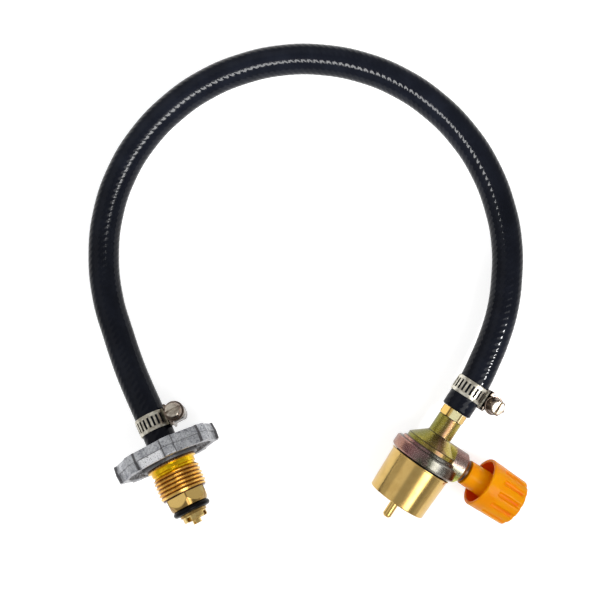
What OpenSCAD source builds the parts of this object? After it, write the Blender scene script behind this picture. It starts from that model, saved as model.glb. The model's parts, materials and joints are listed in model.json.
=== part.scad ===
// Cylinder adapter hose: a short gas hose with a left-hand screw connector and hand wheel at one
// end, and a needle valve with a bottle cup, a probe and a turning knob at the other.
// It lies on its side on a flat surface at Z = 0, with the bottle cup pointing along -Y.
// Millimetres. +Z is up. The origin is on the surface, under the middle of the two fittings.

/* [Hose] */
// Outside diameter of the hose
hose_d = 14.5; // [13:0.5:16]
// Bore of the hose
hose_bore_d = 8; // [7:0.5:9]
// Length of each barbed tail inside the hose
barb_l = 20; // [14:1:24]
// Distance from one barb to the next
barb_pitch = 4; // [3:0.5:5]
// Bore through the barbed tails
barb_bore_d = 4.4; // [3:0.2:5]

/* [Hose clamps] */
// Width of a clamp band
band_w = 8; // [7:0.5:9]
// Thickness of a clamp band
band_t = 0.6; // [0.5:0.1:0.8]
// Length of a worm slot, across the band
slot_l = 4.8; // [4:0.2:5.4]
// Width of a worm slot, along the band
slot_w = 1; // [0.6:0.1:1.2]
// Angle from one worm slot to the next
slot_step = 15.5; // [14:0.5:18]
// Number of worm slots on show
slot_n = 18; // [8:1:18]
// Diameter of the worm
worm_d = 6; // [4.6:0.2:6.4]
// Length of the clamp housing along the worm
housing_l = 11.5; // [9:0.5:13]
// Wall of the clamp housing over the worm
housing_wall = 0.9; // [0.7:0.1:1.2]
// Width of the clamp housing across its feet
housing_w = 10.5; // [9.5:0.5:12]
// Width across the flats of the clamp screw's head
screw_head_af = 8; // [6:0.2:8.6]
// Height of the clamp screw's head
screw_head_h = 4.4; // [3:0.2:5]
// Diameter of the washer face under the clamp screw's head
screw_washer_d = 9.4; // [7.6:0.2:9.6]
// Distance from the hose's end to the clamp band at the valve
valve_clamp_gap = 7.9; // [5:0.5:10]
// Distance from the hose's end to the clamp band at the connector
pol_clamp_gap = 6.6; // [5:0.2:9]

/* [Cylinder connector] */
// Outside diameter of the connector's thread
pol_thread_d = 22.3; // [22:0.1:22.6]
// Length of the connector's thread
pol_thread_l = 11; // [9:0.5:12]
// Diameter of the plain neck behind the thread
pol_neck_d = 21; // [20:0.2:21.6]
// Length of the plain neck
pol_neck_l = 3.5; // [3:0.5:5]
// Diameter of the nut's lip
pol_lip_d = 23.4; // [23:0.1:24.4]
// Thickness of the nut's lip
pol_lip_t = 1; // [0.8:0.1:1.5]
// Width across the flats of the nut's drive inside the hand wheel
nut_drive_af = 19; // [18:0.5:20]
// Diameter of the nipple's stem, on which the nut turns
stem_d = 11; // [10.6:0.2:13]
// Width across the flats of the nose
nose_af = 17.6; // [16:0.2:18]
// Length of the nose's hexagon and cone
nose_l = 5.9; // [5.5:0.1:7]
// Diameter of the nose's cone at its back, over the hexagon's corners
nose_back_d = 22.6; // [21:0.1:23.4]
// Diameter of the nose's cone at its front
nose_front_d = 16.4; // [15.8:0.1:16.8]
// Outside diameter of the nose's O-ring
nose_ring_od = 17.4; // [17:0.1:18]
// Thickness of the nose's O-ring
nose_ring_t = 2.6; // [2.4:0.1:2.8]
// Diameter of the collar that keeps the O-ring on
collar_d = 12.5; // [12.4:0.1:13.5]
// Thickness of that collar
collar_t = 1.3; // [1:0.1:2]
// Diameter of the castellated flow-guard cage
cage_d = 11.2; // [10:0.2:12]
// Height of the cage's castle
cage_h = 2.5; // [1.4:0.1:3]
// Width of the slots across the castle
cage_slot_w = 2; // [1.4:0.1:2.4]
// Diameter of the flow-guard plunger's stem
plunger_d = 4; // [3.4:0.1:4.4]
// How far the plunger stands out of the cage
plunger_out = 1.9; // [1.3:0.1:2.4]
// Travel of the plunger
plunger_travel = 1.2; // [1:0.1:1.5]
// Diameter of the spring's wire
spring_wire_d = 0.5; // [0.4:0.1:0.7]
// Number of turns of the spring
spring_turns = 5; // [4:1:6]

/* [Hand wheel] */
// Diameter over the grip blocks
wheel_d = 49.6; // [47:0.2:51]
// Thickness of the rim
wheel_t = 8; // [7:0.5:9]
// Number of grip blocks
wheel_blocks = 8; // [8:1:9]
// Width of a grip block, as an angle
block_angle = 12; // [9:1:16]
// Width across two opposite flats
wheel_flats = 45.8; // [44:0.2:47]
// Draft angle of the rim from its parting line
wheel_draft = 5; // [2:1:7]
// Thickness of the rim at its lip
rim_wall = 2.6; // [2:0.2:4]
// Thickness of the web
web_t = 3; // [2.4:0.1:4]
// Diameter of the hub
wheel_hub_d = 27; // [26:0.5:30]

/* [Valve body] */
// Diameter of the flange
flange_d = 33; // [31:0.5:35]
// Thickness of the flange
flange_t = 5.8; // [5:0.2:7]
// Bevel on the edges of the flange
flange_bevel = 0.8; // [0.4:0.1:1.2]
// Diameter of the ring on the flange
ring_d = 28.4; // [27:0.2:30]
// Height of the ring on the flange
ring_h = 1.5; // [1:0.1:2]
// Diameter of the step under the shoulder
step_d = 25.4; // [24:0.2:26.5]
// Height of the step under the shoulder
step_h = 2.2; // [1.6:0.2:3]
// Height of the conical shoulder
shoulder_h = 5.8; // [5:0.2:7]
// Diameter of the neck
neck_d = 11.7; // [11.2:0.1:12.6]
// Height of the neck
neck_h = 9.5; // [9:0.5:12]
// Distance from the middle of the flange to the spindle's axis
spindle_up = 4.5; // [4:0.25:5.5]
// Diameter of the spindle boss
boss_d = 15.8; // [15:0.2:16.6]
// Distance from the valve's axis to the end of the boss
boss_reach = 18.2; // [17.6:0.2:20]
// Bevel on the end of the boss
boss_bevel = 1.4; // [0.6:0.1:1.8]
// Width across the flats of the hose tail's hexagon
tail_af = 10.6; // [9.6:0.2:11]
// Height of the hose tail's hexagon
tail_hex_h = 4.3; // [3.5:0.1:5]
// Turn of the hose tail's hexagon
tail_hex_turn = 47; // [0:1:59]
// Diameter of the hose tail's screwed end
tail_screw_d = 8.4; // [7.6:0.2:9]

/* [Bottle cup] */
// Diameter of the cup at its base
cup_d = 29.8; // [28.5:0.1:31]
// Diameter of the cup at its mouth
cup_mouth_d = 28.4; // [27.5:0.1:29]
// Length of the cup
cup_l = 20.8; // [18:0.4:24]
// Wall of the cup
cup_wall = 1.5; // [1:0.1:2]
// Thickness of the cup's base
cup_base_t = 1.6; // [1.2:0.1:2]
// Diameter of the thin lip at the cup's base
cup_lip_d = 30.6; // [30:0.1:32]
// Thickness of the thin lip at the cup's base
cup_lip_t = 0.5; // [0.3:0.1:0.8]
// Thickness of the gasket between cup and valve body
gasket_t = 0.8; // [0.6:0.1:1]
// Diameter of that gasket
gasket_d = 26; // [24:0.5:28]
// Diameter of the probe
probe_d = 4.2; // [3.6:0.1:4.4]
// How far the probe stands out of the cup
probe_out = 9; // [5:0.5:10]
// Bore of the probe
probe_bore_d = 2; // [1.4:0.1:2.4]
// Diameter of the probe's screwed end
probe_screw_d = 6.4; // [5.4:0.2:7]
// Width across the flats of the probe's hexagon
probe_af = 8; // [7.6:0.2:9]
// Height of the probe's hexagon
probe_hex_h = 2.5; // [2:0.1:3]
// Outside diameter of the bottle seal
seal_d = 18; // [16:0.5:20]
// Thickness of the bottle seal
seal_t = 2; // [1.4:0.2:3]

/* [Valve knob] */
// Diameter of the spindle
spindle_d = 6; // [5.6:0.1:6.4]
// Diameter of the valve's seat
seat_d = 1.8; // [1.4:0.1:2.2]
// Travel of the spindle from shut to fully open
spindle_travel = 2; // [1.5:0.1:2]
// Diameter of the gland nut's head
gland_d = 11.6; // [11:0.1:12]
// Height of the gland nut's head
gland_h = 1.2; // [0.8:0.1:1.6]
// Gap between the gland nut and the knob with the valve shut
knob_gap = 0.9; // [0.4:0.1:1.4]
// Diameter of the knob's sleeve
sleeve_d = 12.3; // [11.8:0.1:13]
// Length of the sleeve in front of the skirt
sleeve_l = 8.4; // [7:0.2:11]
// Diameter of the knob at the mouth of its skirt
skirt_d = 24.5; // [23.5:0.1:25]
// Diameter of the knob at its closed end
knob_end_d = 23.4; // [22.4:0.1:23.6]
// Length of the skirt
skirt_l = 19.4; // [16:0.2:21]
// Wall of the skirt
skirt_wall = 1.7; // [1.3:0.1:2.2]
// Thickness of the knob's closed end
knob_end_t = 2.6; // [2.4:0.1:3]
// Number of flutes round the knob
flute_n = 12; // [10:1:14]
// Width of a flute
flute_w = 3; // [2.4:0.1:3.4]
// Depth of a flute at the closed end
flute_depth = 1.1; // [0.6:0.1:1.2]
// Turn of the flutes round the knob
flute_turn = -4; // [-15:1:15]
// Length of a flute
flute_l = 12; // [9:0.5:14]
// Diameter of the knob screw's head
knob_screw_d = 6.4; // [5.6:0.2:7]
// Diameter of the knob screw's shank
shank_d = 2.5; // [2:0.1:2.8]
// Length of that shank in the spindle
shank_l = 7; // [4:0.5:9]

/* [Places] */
// Turn of the hand wheel's lowest block from straight down
wheel_turn = -16.5; // [-22:0.5:0]
// Height of the hand wheel's centre
pol_z = 24.35; // [23:0.05:26]
// How far the connector's nose points up
pol_rise = 12.9; // [11:0.1:15]
// Compass direction of the connector's nose, from +X
pol_heading = -29.5; // [-35:0.1:-25]
// Turn of the nose's hexagon
nose_turn = 28; // [0:1:59]
// Turn of the clamp at the connector, from straight down
pol_clamp_turn = 86; // [60:1:120]
// Turn of the clamp at the valve, from the knob's side downwards
valve_clamp_turn = 10; // [-60:1:60]
// How far the knob points down, so that it rests on the surface too
knob_drop = 5.7; // [5:0.1:6]

/* [Hidden] */
$fn = 64;

// Clearances
run_gap = 0.05;    // radial, round a turning or sliding shaft
face_gap = 0.1;    // between flat faces that move past each other
seat_gap = 0.05;   // between fixed pieces that seat on each other
far = 80;          // longer than any cut needs to be

// Places of the two fittings on the surface
valve_pos = [37.6, 19.6, flange_d / 2];
pol_pos = [-64.5, -44.15, pol_z];

// Centre line of the hose, from the valve to the connector
route = [
    [37.6, 45.9, 16.5], [37.6, 53.8, 16.5], [37.6, 61.8, 16.5], [36.2, 72.8, 16.1],
    [34, 84.8, 15.5], [30, 98.3, 14.7], [24.2, 110.8, 13.8], [14.6, 126, 12.5], [3, 138.4, 11.1],
    [-13, 150.2, 9.8], [-31, 158.4, 8.6], [-50.2, 162.7, 7.7], [-69.7, 163, 7.3],
    [-88.8, 159.2, 7.3], [-106.8, 151.7, 7.3], [-123, 140.9, 7.3], [-136.7, 127, 7.3],
    [-147.6, 110.7, 7.3], [-155, 92.2, 7.3], [-158.6, 72.5, 7.3], [-157.9, 52.3, 7.3],
    [-152.7, 32.6, 7.4], [-143.2, 14.5, 7.8], [-130.1, -1.3, 8.7], [-115.6, -13, 10.9],
    [-101.6, -22.9, 14.2], [-93.3, -27.85, 16.75], [-84.9, -32.65, 18.95], [-76.4, -37.45, 21.15],
    [-68.4, -41.95, 23.35]
];
hose_sides = 12;

// Along the valve's axis, from the middle of the flange, positive towards the hose
flange_top = flange_t / 2;
step_z = flange_top + ring_h;
shoulder_z = step_z + step_h;
neck_z = shoulder_z + shoulder_h;
neck_top = neck_z + neck_h;
hose_z = neck_top + tail_hex_h;
valve_clamp_z = hose_z + valve_clamp_gap + band_w / 2;
tail_screw_l = 7.5;
cup_z = -flange_top - gasket_t;
cup_mouth = cup_z - cup_l;
probe_tip = cup_mouth - probe_out;
probe_screw_l = 4;

// Along the connector's axis, from the middle of the hand wheel, positive towards the nose
lip_z = wheel_t / 2 + 0.7;
neck_start = lip_z + pol_lip_t;
thread_z = neck_start + pol_neck_l;
nose_z = thread_z + pol_thread_l + face_gap;
groove_z = nose_z + nose_l;
collar_z = groove_z + nose_ring_t + 2 * seat_gap;
castle_z = collar_z + collar_t;
castle_top = castle_z + cage_h;
plunger_top = castle_top + plunger_out;
wheel_back = -wheel_t / 2;
stem_back = wheel_back - 0.6;
pol_clamp_z = stem_back - seat_gap - pol_clamp_gap - band_w / 2;
cage_plug_d = 8.4;
cage_plug_l = 4.6;
guard_bore_d = cage_plug_d + 2 * seat_gap;
plunger_head_d = guard_bore_d - 1.6;
plunger_head_t = 1.4;
plunger_head_z = castle_z - cage_plug_l - face_gap - plunger_head_t;
guard_depth = spring_wire_d * spring_turns + plunger_travel + 6.3;
guard_z = plunger_head_z - guard_depth;

// Along the spindle's axis, from the valve's axis
seat_x = 2;
chamber_x = 4.6;
gland_x = boss_reach + seat_gap;
sleeve_x = gland_x + gland_h + knob_gap;
skirt_x = sleeve_x + sleeve_l;
knob_end_x = skirt_x + skirt_l;
spindle_groove_x = 9;
ring_t = 1.2;
gland_screw_l = boss_reach - spindle_groove_x - ring_t - spindle_travel - 1;
screw_pocket_h = 1.6;
spindle_end_x = knob_end_x - knob_end_t;

// Clamp
band_r = hose_d / 2 + seat_gap;
tail_r = band_r + band_t + seat_gap;
worm_x = tail_r + band_t + run_gap + worm_d / 2;
housing_r = worm_d / 2 + run_gap + housing_wall;

// Turns a shape's Z into the valve's axis: flange middle at the origin, hose side up
module at_valve() {
    translate(valve_pos) rotate([0, knob_drop, 0]) rotate([-90, 0, 0]) children();
}

// Turns a shape's Z into the spindle's axis, out of the valve body
module at_spindle() {
    at_valve() translate([0, 0, spindle_up]) rotate([0, 90, 0]) children();
}

// Turns a shape's Z into the connector's axis: wheel middle at the origin, nose side up
module at_pol() {
    translate(pol_pos) rotate([0, 0, pol_heading]) rotate([0, 90 - pol_rise, 0]) children();
}

// The clamps' places: housing over +X, worm along Y with its head at +Y
module at_left_clamp() {
    at_pol() translate([0, 0, pol_clamp_z]) rotate([0, 0, pol_clamp_turn]) children();
}

module at_right_clamp() {
    at_valve() translate([0, 0, valve_clamp_z]) rotate([180, 0, valve_clamp_turn]) children();
}

// A solid of revolution from [radius, height] points
module turned(points) {
    rotate_extrude() polygon(points);
}

// A plain round hole or bar along Z
module bar(d, z0, z1) {
    translate([0, 0, z0]) cylinder(d = d, h = z1 - z0);
}

// A hexagonal bar along Z
module hex_bar(af, z0, z1, turn = 0) {
    translate([0, 0, z0]) rotate([0, 0, turn])
        cylinder(d = af / cos(30), h = z1 - z0, $fn = 6);
}

// A ring of round section round Z
module o_ring(inside_d, t, z) {
    translate([0, 0, z]) rotate_extrude() translate([inside_d / 2 + t / 2, 0]) circle(d = t, $fn = 32);
}

// ---- Hose ----

function unit(v) = v / norm(v);
function heading(p, i) = unit(p[min(i + 1, len(p) - 1)] - p[max(i - 1, 0)]);
function side_way(t) = unit(cross(t, [0, 0, 1]));
function hose_ring(c, t, r) = let (s = side_way(t), u = cross(s, t))
    [for (k = [0:hose_sides - 1]) let (a = 360 * k / hose_sides) c + r * (cos(a) * s + sin(a) * u)];
function quad(a, b, c, d) = [[a, b, c], [a, c, d]];

module swept_tube(points, r_out, r_in) {
    n = len(points);
    m = hose_sides;
    inner = n * m;
    shell = [
        for (r = [r_out, r_in]) for (i = [0:n - 1])
            each hose_ring(points[i], heading(points, i), r)
    ];
    skin = [
        for (i = [0:n - 2]) for (k = [0:m - 1]) let (j = (k + 1) % m, a = i * m, b = a + m)
            each concat(
                quad(a + k, b + k, b + j, a + j),
                quad(inner + a + j, inner + b + j, inner + b + k, inner + a + k)
            )
    ];
    ends = [
        for (k = [0:m - 1]) let (j = (k + 1) % m, e = (n - 1) * m)
            each concat(
                quad(k, j, inner + j, inner + k),
                quad(e + j, e + k, inner + e + k, inner + e + j)
            )
    ];
    polyhedron(shell, concat(skin, ends));
}

module hose() {
    color("#15181d") swept_tube(route, hose_d / 2, hose_bore_d / 2);
}

// A barbed tail from its root at Z = 0, pointing up, that fills the hose's bore
barb_tip_r = hose_bore_d / 2 * cos(180 / hose_sides) - seat_gap;
barb_root_r = barb_tip_r - 0.5;
barb_n = floor((barb_l - 2) / barb_pitch);
module barbed_tail() {
    teeth = [
        for (i = [0:barb_n - 1]) let (z = 1.5 + i * barb_pitch)
            each [[barb_root_r, z], [barb_tip_r, z], [barb_root_r, z + barb_pitch * 0.9]]
    ];
    turned(concat([[barb_bore_d / 2, -0.5], [barb_root_r, -0.5]], teeth,
        [[barb_root_r, barb_l], [barb_bore_d / 2, barb_l]]));
}

// ---- Hose clamps ----

// A piece of the band's circle between two angles, from radius r
module band_arc(r, from, to) {
    rotate([0, 0, from]) translate([0, 0, -band_w / 2])
        rotate_extrude(angle = to - from) translate([r, 0]) square([band_t, band_w]);
}

// The band, its tail through the housing, and the slots that the worm drives
tail_from = -42;
tail_to = 34;
slot_start = 48;
module clamp_band() {
    color("#b9b3a6") {
        difference() {
            translate([0, 0, -band_w / 2]) turned([
                [band_r, 0], [band_r + band_t, 0], [band_r + band_t, band_w], [band_r, band_w]
            ]);
            for (i = [0:slot_n - 1])
                rotate([0, 0, slot_start + i * slot_step])
                    translate([band_r - 1, -slot_w / 2, -slot_l / 2])
                        cube([band_t + 2, slot_w, slot_l]);
        }
        band_arc(tail_r - seat_gap, tail_from, tail_to);
    }
}

// The housing: an arch over the worm with two feet on the band
module clamp_housing() {
    seat_r = tail_r + band_t + seat_gap;
    foot_t = 0.9;
    foot_x = seat_r - foot_t;
    color("#c4beb2") difference() {
        union() {
            translate([worm_x, -housing_l / 2, 0]) rotate([-90, 0, 0])
                cylinder(r = housing_r, h = housing_l);
            translate([foot_x, -housing_l / 2, -housing_r])
                cube([worm_x - foot_x, housing_l, 2 * housing_r]);
            translate([foot_x, -housing_l / 2, -housing_w / 2])
                cube([foot_t + 0.5, housing_l, housing_w]);
        }
        translate([worm_x, -far / 2, 0]) rotate([-90, 0, 0])
            cylinder(d = worm_d + 2 * run_gap, h = far);
        translate([0, 0, -far / 2]) cylinder(r = seat_r, h = far);
        translate([0, -far / 2, -worm_d / 2 - run_gap])
            cube([worm_x, far, worm_d + 2 * run_gap]);
    }
}

// The worm with its hexagonal, slotted head; slot_turn 0 puts the slot across the hose
module clamp_screw(slot_turn = 0) {
    head_y = housing_l / 2 + face_gap;
    washer_t = 0.8;
    slot_depth = 1.6;
    color("#9c968a") translate([worm_x, 0, 0]) rotate([-90, 0, 0]) difference() {
        union() {
            bar(worm_d, -housing_l / 2 - 1.2, head_y);
            bar(screw_washer_d, head_y, head_y + washer_t);
            intersection() {
                hex_bar(screw_head_af, head_y + washer_t, head_y + washer_t + screw_head_h);
                turned([
                    [0, head_y], [screw_head_af, head_y], [screw_head_af * 0.45, head_y + washer_t + screw_head_h],
                    [0, head_y + washer_t + screw_head_h]
                ]);
            }
        }
        rotate([0, 0, slot_turn])
            translate([-far / 2, -0.6, head_y + washer_t + screw_head_h - slot_depth])
                cube([far, 1.2, far]);
    }
}

module left_clamp_band() at_left_clamp() clamp_band();
module left_clamp_housing() at_left_clamp() clamp_housing();
module left_clamp_screw() at_left_clamp() clamp_screw();
module right_clamp_band() at_right_clamp() clamp_band();
module right_clamp_housing() at_right_clamp() clamp_housing();
module right_clamp_screw() at_right_clamp() clamp_screw(90);

// ---- Cylinder connector ----

// Nose, stem and hose tail, turned from one hexagonal bar
module pol_nipple() {
    color("#d9b45c") at_pol() {
        difference() {
            union() {
                bar(stem_d, stem_back, nose_z);
                intersection() {
                    hex_bar(nose_af, nose_z, groove_z, nose_turn);
                    turned([
                        [0, nose_z], [nose_back_d / 2, nose_z], [nose_front_d / 2, groove_z], [0, groove_z]
                    ]);
                }
                bar(nose_ring_od - 2 * nose_ring_t - 2 * seat_gap, groove_z, collar_z);
                bar(collar_d, collar_z, castle_z);
            }
            bar(guard_bore_d, guard_z, far);
            bar(barb_bore_d, -far, far);
        }
        translate([0, 0, stem_back]) mirror([0, 0, 1]) barbed_tail();
    }
}

module nose_o_ring() {
    color("#141414") at_pol()
        o_ring(nose_ring_od - 2 * nose_ring_t, nose_ring_t, groove_z + nose_ring_t / 2 + seat_gap);
}

// Screwed plug with a castellated head that guides the plunger
module flow_guard_cage() {
    color("#cfa54a") at_pol() difference() {
        union() {
            bar(cage_plug_d, castle_z - cage_plug_l, castle_z + seat_gap);
            turned([
                [0, castle_z + seat_gap], [cage_d / 2, castle_z + seat_gap],
                [cage_d / 2, castle_top - 0.4], [cage_d / 2 - 0.4, castle_top], [0, castle_top]
            ]);
        }
        bar(plunger_d + 2 * run_gap, -far, far);
        for (a = [0, 90]) rotate([0, 0, a + 20])
            translate([-far / 2, -cage_slot_w / 2, castle_z + 0.6]) cube([far, cage_slot_w, far]);
        for (a = [0:90:270]) rotate([0, 0, a + 20]) translate([plunger_d / 2 + 1, 0, 0])
            bar(1, castle_z - far, castle_z + far);
    }
}

// Plunger that stands out of the cage, with a driver slot in its end
module flow_guard_plunger() {
    color("#d8b868") at_pol() difference() {
        union() {
            bar(plunger_d, plunger_head_z, plunger_top);
            bar(plunger_head_d, plunger_head_z, plunger_head_z + plunger_head_t);
            bar(plunger_d - 1, plunger_head_z - 2, plunger_head_z);
        }
        rotate([0, 0, 20]) translate([-far / 2, -0.4, plunger_top - 1]) cube([far, 0.8, far]);
    }
}

// The spring's path and wire, swept by functions
spring_r = plunger_head_d / 2 - spring_wire_d / 2 - 0.1;
spring_segments = 14;
function spring_point(i, bottom, top) = let (
        n = spring_turns * spring_segments,
        a = 360 * i / spring_segments,
        ease = min(1, max(0, (i - spring_segments) / (n - 2 * spring_segments)))
    ) [spring_r * cos(a), spring_r * sin(a),
        bottom + spring_wire_d * min(1, i / spring_segments) + spring_wire_d * max(0, (i - n) / spring_segments + 1)
        + (top - bottom - 2 * spring_wire_d) * ease];

module coil_spring(bottom, top) {
    sides = 6;
    n = spring_turns * spring_segments;
    low = bottom + spring_wire_d / 2;
    high = top - spring_wire_d / 2;
    rings = [
        for (i = [0:n]) let (c = spring_point(i, low, high), a = 360 * i / spring_segments)
            each [for (k = [0:sides - 1]) let (b = 360 * k / sides, w = spring_wire_d / 2)
                c + w * [cos(b) * cos(a), cos(b) * sin(a), sin(b)]]
    ];
    walls = [
        for (i = [0:n - 1]) for (k = [0:sides - 1]) let (j = (k + 1) % sides, a = i * sides, b = a + sides)
            each quad(a + j, b + j, b + k, a + k)
    ];
    polyhedron(rings, concat([[for (k = [0:sides - 1]) k]],
        [[for (k = [0:sides - 1]) n * sides + sides - 1 - k]], walls));
}

module flow_guard_spring() {
    color("#8d8d8d") at_pol() coil_spring(guard_z + seat_gap, plunger_head_z - seat_gap);
}

// Left-hand union nut: plain neck, thread and a hexagonal drive inside the wheel
module pol_nut() {
    thread_end = thread_z + pol_thread_l;
    groove_w = 1.2;
    groove_d = pol_neck_d - 1.4;
    color("#c98a2e") at_pol() difference() {
        union() {
            hex_bar(nut_drive_af, wheel_back + 0.4, lip_z, 10);
            bar(pol_lip_d, lip_z, neck_start);
            bar(pol_neck_d, neck_start, thread_z - groove_w);
            bar(groove_d, thread_z - groove_w, thread_z);
            turned([
                [0, thread_z], [pol_thread_d / 2 - 0.8, thread_z], [pol_thread_d / 2, thread_z + 0.8],
                [pol_thread_d / 2, thread_end - 2], [pol_thread_d / 2 - 1, thread_end], [0, thread_end]
            ]);
        }
        bar(stem_d + 2 * run_gap, -far, far);
    }
}

// ---- Hand wheel ----

// One flat between two grip blocks, with draft both ways from the parting line
module wheel_flat() {
    half_gap = 180 / wheel_blocks - block_angle / 2;
    w = wheel_d * sin(half_gap);
    for (side = [0, 1]) mirror([0, 0, side])
        translate([wheel_flats / 2, 0, 0]) rotate([0, -wheel_draft, 0])
            translate([0, -w / 2, -0.5]) cube([far, w, wheel_t]);
}

// Die-cast wheel: grip blocks, flats, a hub, and a web dished on both sides
module handwheel() {
    r = wheel_d / 2;
    half = wheel_t / 2;
    lean = half * tan(wheel_draft);
    dish_r = wheel_flats / 2 - rim_wall;
    hub_r = wheel_hub_d / 2;
    hub_top = lip_z - seat_gap;
    web_z = web_t / 2;
    color("#9aa0a6") at_pol() rotate([0, 0, wheel_turn]) difference() {
        union() {
            turned([
                [0, -half], [r - lean, -half], [r, 0], [r - lean, half], [0, half]
            ]);
            turned([[0, 0], [hub_r, 0], [hub_r - 0.4, hub_top], [0, hub_top]]);
        }
        for (i = [0:wheel_blocks - 1]) rotate([0, 0, (i + 0.5) * 360 / wheel_blocks]) wheel_flat();
        for (side = [0, 1]) mirror([0, 0, side]) turned([
            [hub_r, half + 0.1], [hub_r + 0.3, web_z + 0.8], [hub_r + 1.1, web_z],
            [dish_r - 1.8, web_z], [dish_r - 0.7, web_z + 0.7], [dish_r, half + 0.1]
        ]);
        rotate([0, 0, 10 - wheel_turn])
            cylinder(d = (nut_drive_af + 2 * seat_gap) / cos(30), h = far, center = true, $fn = 6);
    }
}

// ---- Valve end ----

// Hexagon, screwed end and barbed tail of the valve's hose tail
module hose_tail() {
    color("#d8b04c") at_valve() {
        difference() {
            union() {
                bar(tail_screw_d, neck_top - tail_screw_l, neck_top);
                hex_bar(tail_af, neck_top + seat_gap, hose_z, tail_hex_turn);
                bar(tail_screw_d, neck_top, neck_top + 1);
            }
            bar(barb_bore_d, -far, far);
        }
        translate([0, 0, hose_z]) barbed_tail();
    }
}

// Body: flange, shoulder and neck, with the spindle's boss at right angles
module valve_body() {
    r = flange_d / 2;
    color("#a9963f") difference() {
        union() {
            at_valve() turned([
                [0, -flange_top], [r - flange_bevel, -flange_top], [r, flange_bevel - flange_top],
                [r, flange_top - flange_bevel], [r - flange_bevel, flange_top],
                [ring_d / 2, flange_top], [ring_d / 2 - 0.5, step_z], [step_d / 2, step_z],
                [step_d / 2, shoulder_z], [neck_d / 2, neck_z], [neck_d / 2, neck_top], [0, neck_top]
            ]);
            at_spindle() turned([
                [0, 0], [boss_d / 2, 0], [boss_d / 2, boss_reach - boss_bevel],
                [boss_d / 2 - boss_bevel, boss_reach], [0, boss_reach]
            ]);
        }
        at_valve() {
            bar(tail_screw_d + 2 * seat_gap, neck_top - tail_screw_l - 0.5, far);
            translate([(seat_x + chamber_x) / 2, 0, 0])
                bar(2, spindle_up, neck_top - tail_screw_l);
            bar(gasket_d + 2 * face_gap, -far, -flange_top);
            bar(probe_bore_d, -far, spindle_up);
            bar(probe_screw_d + 2 * seat_gap, -far, probe_screw_l - flange_top);
        }
        at_spindle() {
            bar(seat_d, 0, far);
            bar(spindle_d - 1, seat_x, far);
            bar(spindle_d + 2 * run_gap, chamber_x, far);
            bar(gland_d - 2 + 2 * seat_gap, boss_reach - gland_screw_l, far);
        }
    }
}

module cup_gasket() {
    color("#1b1b1b") at_valve() difference() {
        bar(gasket_d, cup_z + seat_gap, -flange_top - seat_gap);
        bar(probe_screw_d + 2 * seat_gap, -far, far);
    }
}

// Turned cup, held by the probe's hexagon through its base
module bottle_cup() {
    bore_r = cup_mouth_d / 2 - cup_wall;
    floor_z = cup_z - cup_base_t;
    rim_r = cup_mouth_d / 2;
    color("#cfa03a") at_valve() turned([
        [probe_screw_d / 2 + seat_gap, floor_z], [probe_screw_d / 2 + seat_gap, cup_z],
        [cup_lip_d / 2, cup_z], [cup_lip_d / 2, cup_z - cup_lip_t],
        [cup_d / 2, cup_z - cup_lip_t], [rim_r, cup_mouth + 0.4], [rim_r - 0.4, cup_mouth],
        [bore_r + 0.5, cup_mouth], [bore_r, cup_mouth + 0.5], [bore_r, floor_z]
    ]);
}

module bottle_seal() {
    top = cup_z - cup_base_t - seat_gap;
    hole = probe_af / cos(30) / 2 + 0.4;
    color("#202020") at_valve() turned([
        [hole, top], [seal_d / 2, top], [seal_d / 2, top - seal_t + 0.4],
        [seal_d / 2 - 0.4, top - seal_t], [hole, top - seal_t]
    ]);
}

// Probe with a hexagon that clamps the cup to the body
module fill_probe() {
    hex_z = cup_z - cup_base_t - seat_gap;
    r = probe_d / 2;
    color("#cfa447") at_valve() difference() {
        union() {
            bar(probe_screw_d, hex_z - 0.5, probe_screw_l - flange_top - seat_gap);
            hex_bar(probe_af, hex_z - probe_hex_h, hex_z);
            turned([
                [0, probe_tip], [r - 0.7, probe_tip], [r, probe_tip + 1], [r, hex_z], [0, hex_z]
            ]);
        }
        bar(probe_bore_d, -far, far);
    }
}

// ---- Spindle and knob ----

module gland_nut() {
    color("#3a2f28") at_spindle() difference() {
        union() {
            bar(gland_d - 2, boss_reach - gland_screw_l + seat_gap, gland_x + 0.2);
            bar(gland_d, gland_x, gland_x + gland_h);
        }
        bar(spindle_d + 2 * run_gap, -far, far);
    }
}

module spindle_o_ring() {
    color("#151515") at_spindle()
        o_ring(spindle_d - 2 * ring_t, ring_t, spindle_groove_x + ring_t / 2 + seat_gap);
}

// Spindle with a needle point, an O-ring groove and a drive flat under the knob
module valve_spindle() {
    r = spindle_d / 2;
    needle_r = seat_d / 2 - 0.04;
    slope = 0.7;
    point_x = seat_x - 1;
    groove_end = spindle_groove_x + ring_t + 2 * seat_gap;
    groove_r = r - ring_t - seat_gap;
    color("#b98d3c") at_spindle() difference() {
        turned([
            [0, point_x], [needle_r - slope, point_x], [needle_r + slope, seat_x + 1],
            [needle_r + slope, chamber_x], [r, chamber_x + 0.8],
            [r, spindle_groove_x], [groove_r, spindle_groove_x], [groove_r, groove_end], [r, groove_end],
            [r, spindle_end_x], [0, spindle_end_x]
        ]);
        translate([r - 0.8, -far / 2, sleeve_x + 3]) cube([far, far, far]);
        bar(shank_d + 2 * seat_gap, spindle_end_x - shank_l - 2, far);
    }
}

// One flute: a groove with a round closed end, open at the knob's closed end
module flute() {
    lean = atan((skirt_d - knob_end_d) / 2 / skirt_l);
    translate([knob_end_d / 2 + flute_w / 2 - flute_depth, 0, knob_end_x]) rotate([0, -lean, 0]) {
        translate([0, 0, -flute_l]) cylinder(d = flute_w, h = far);
        translate([0, 0, -flute_l]) sphere(d = flute_w);
    }
}

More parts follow.
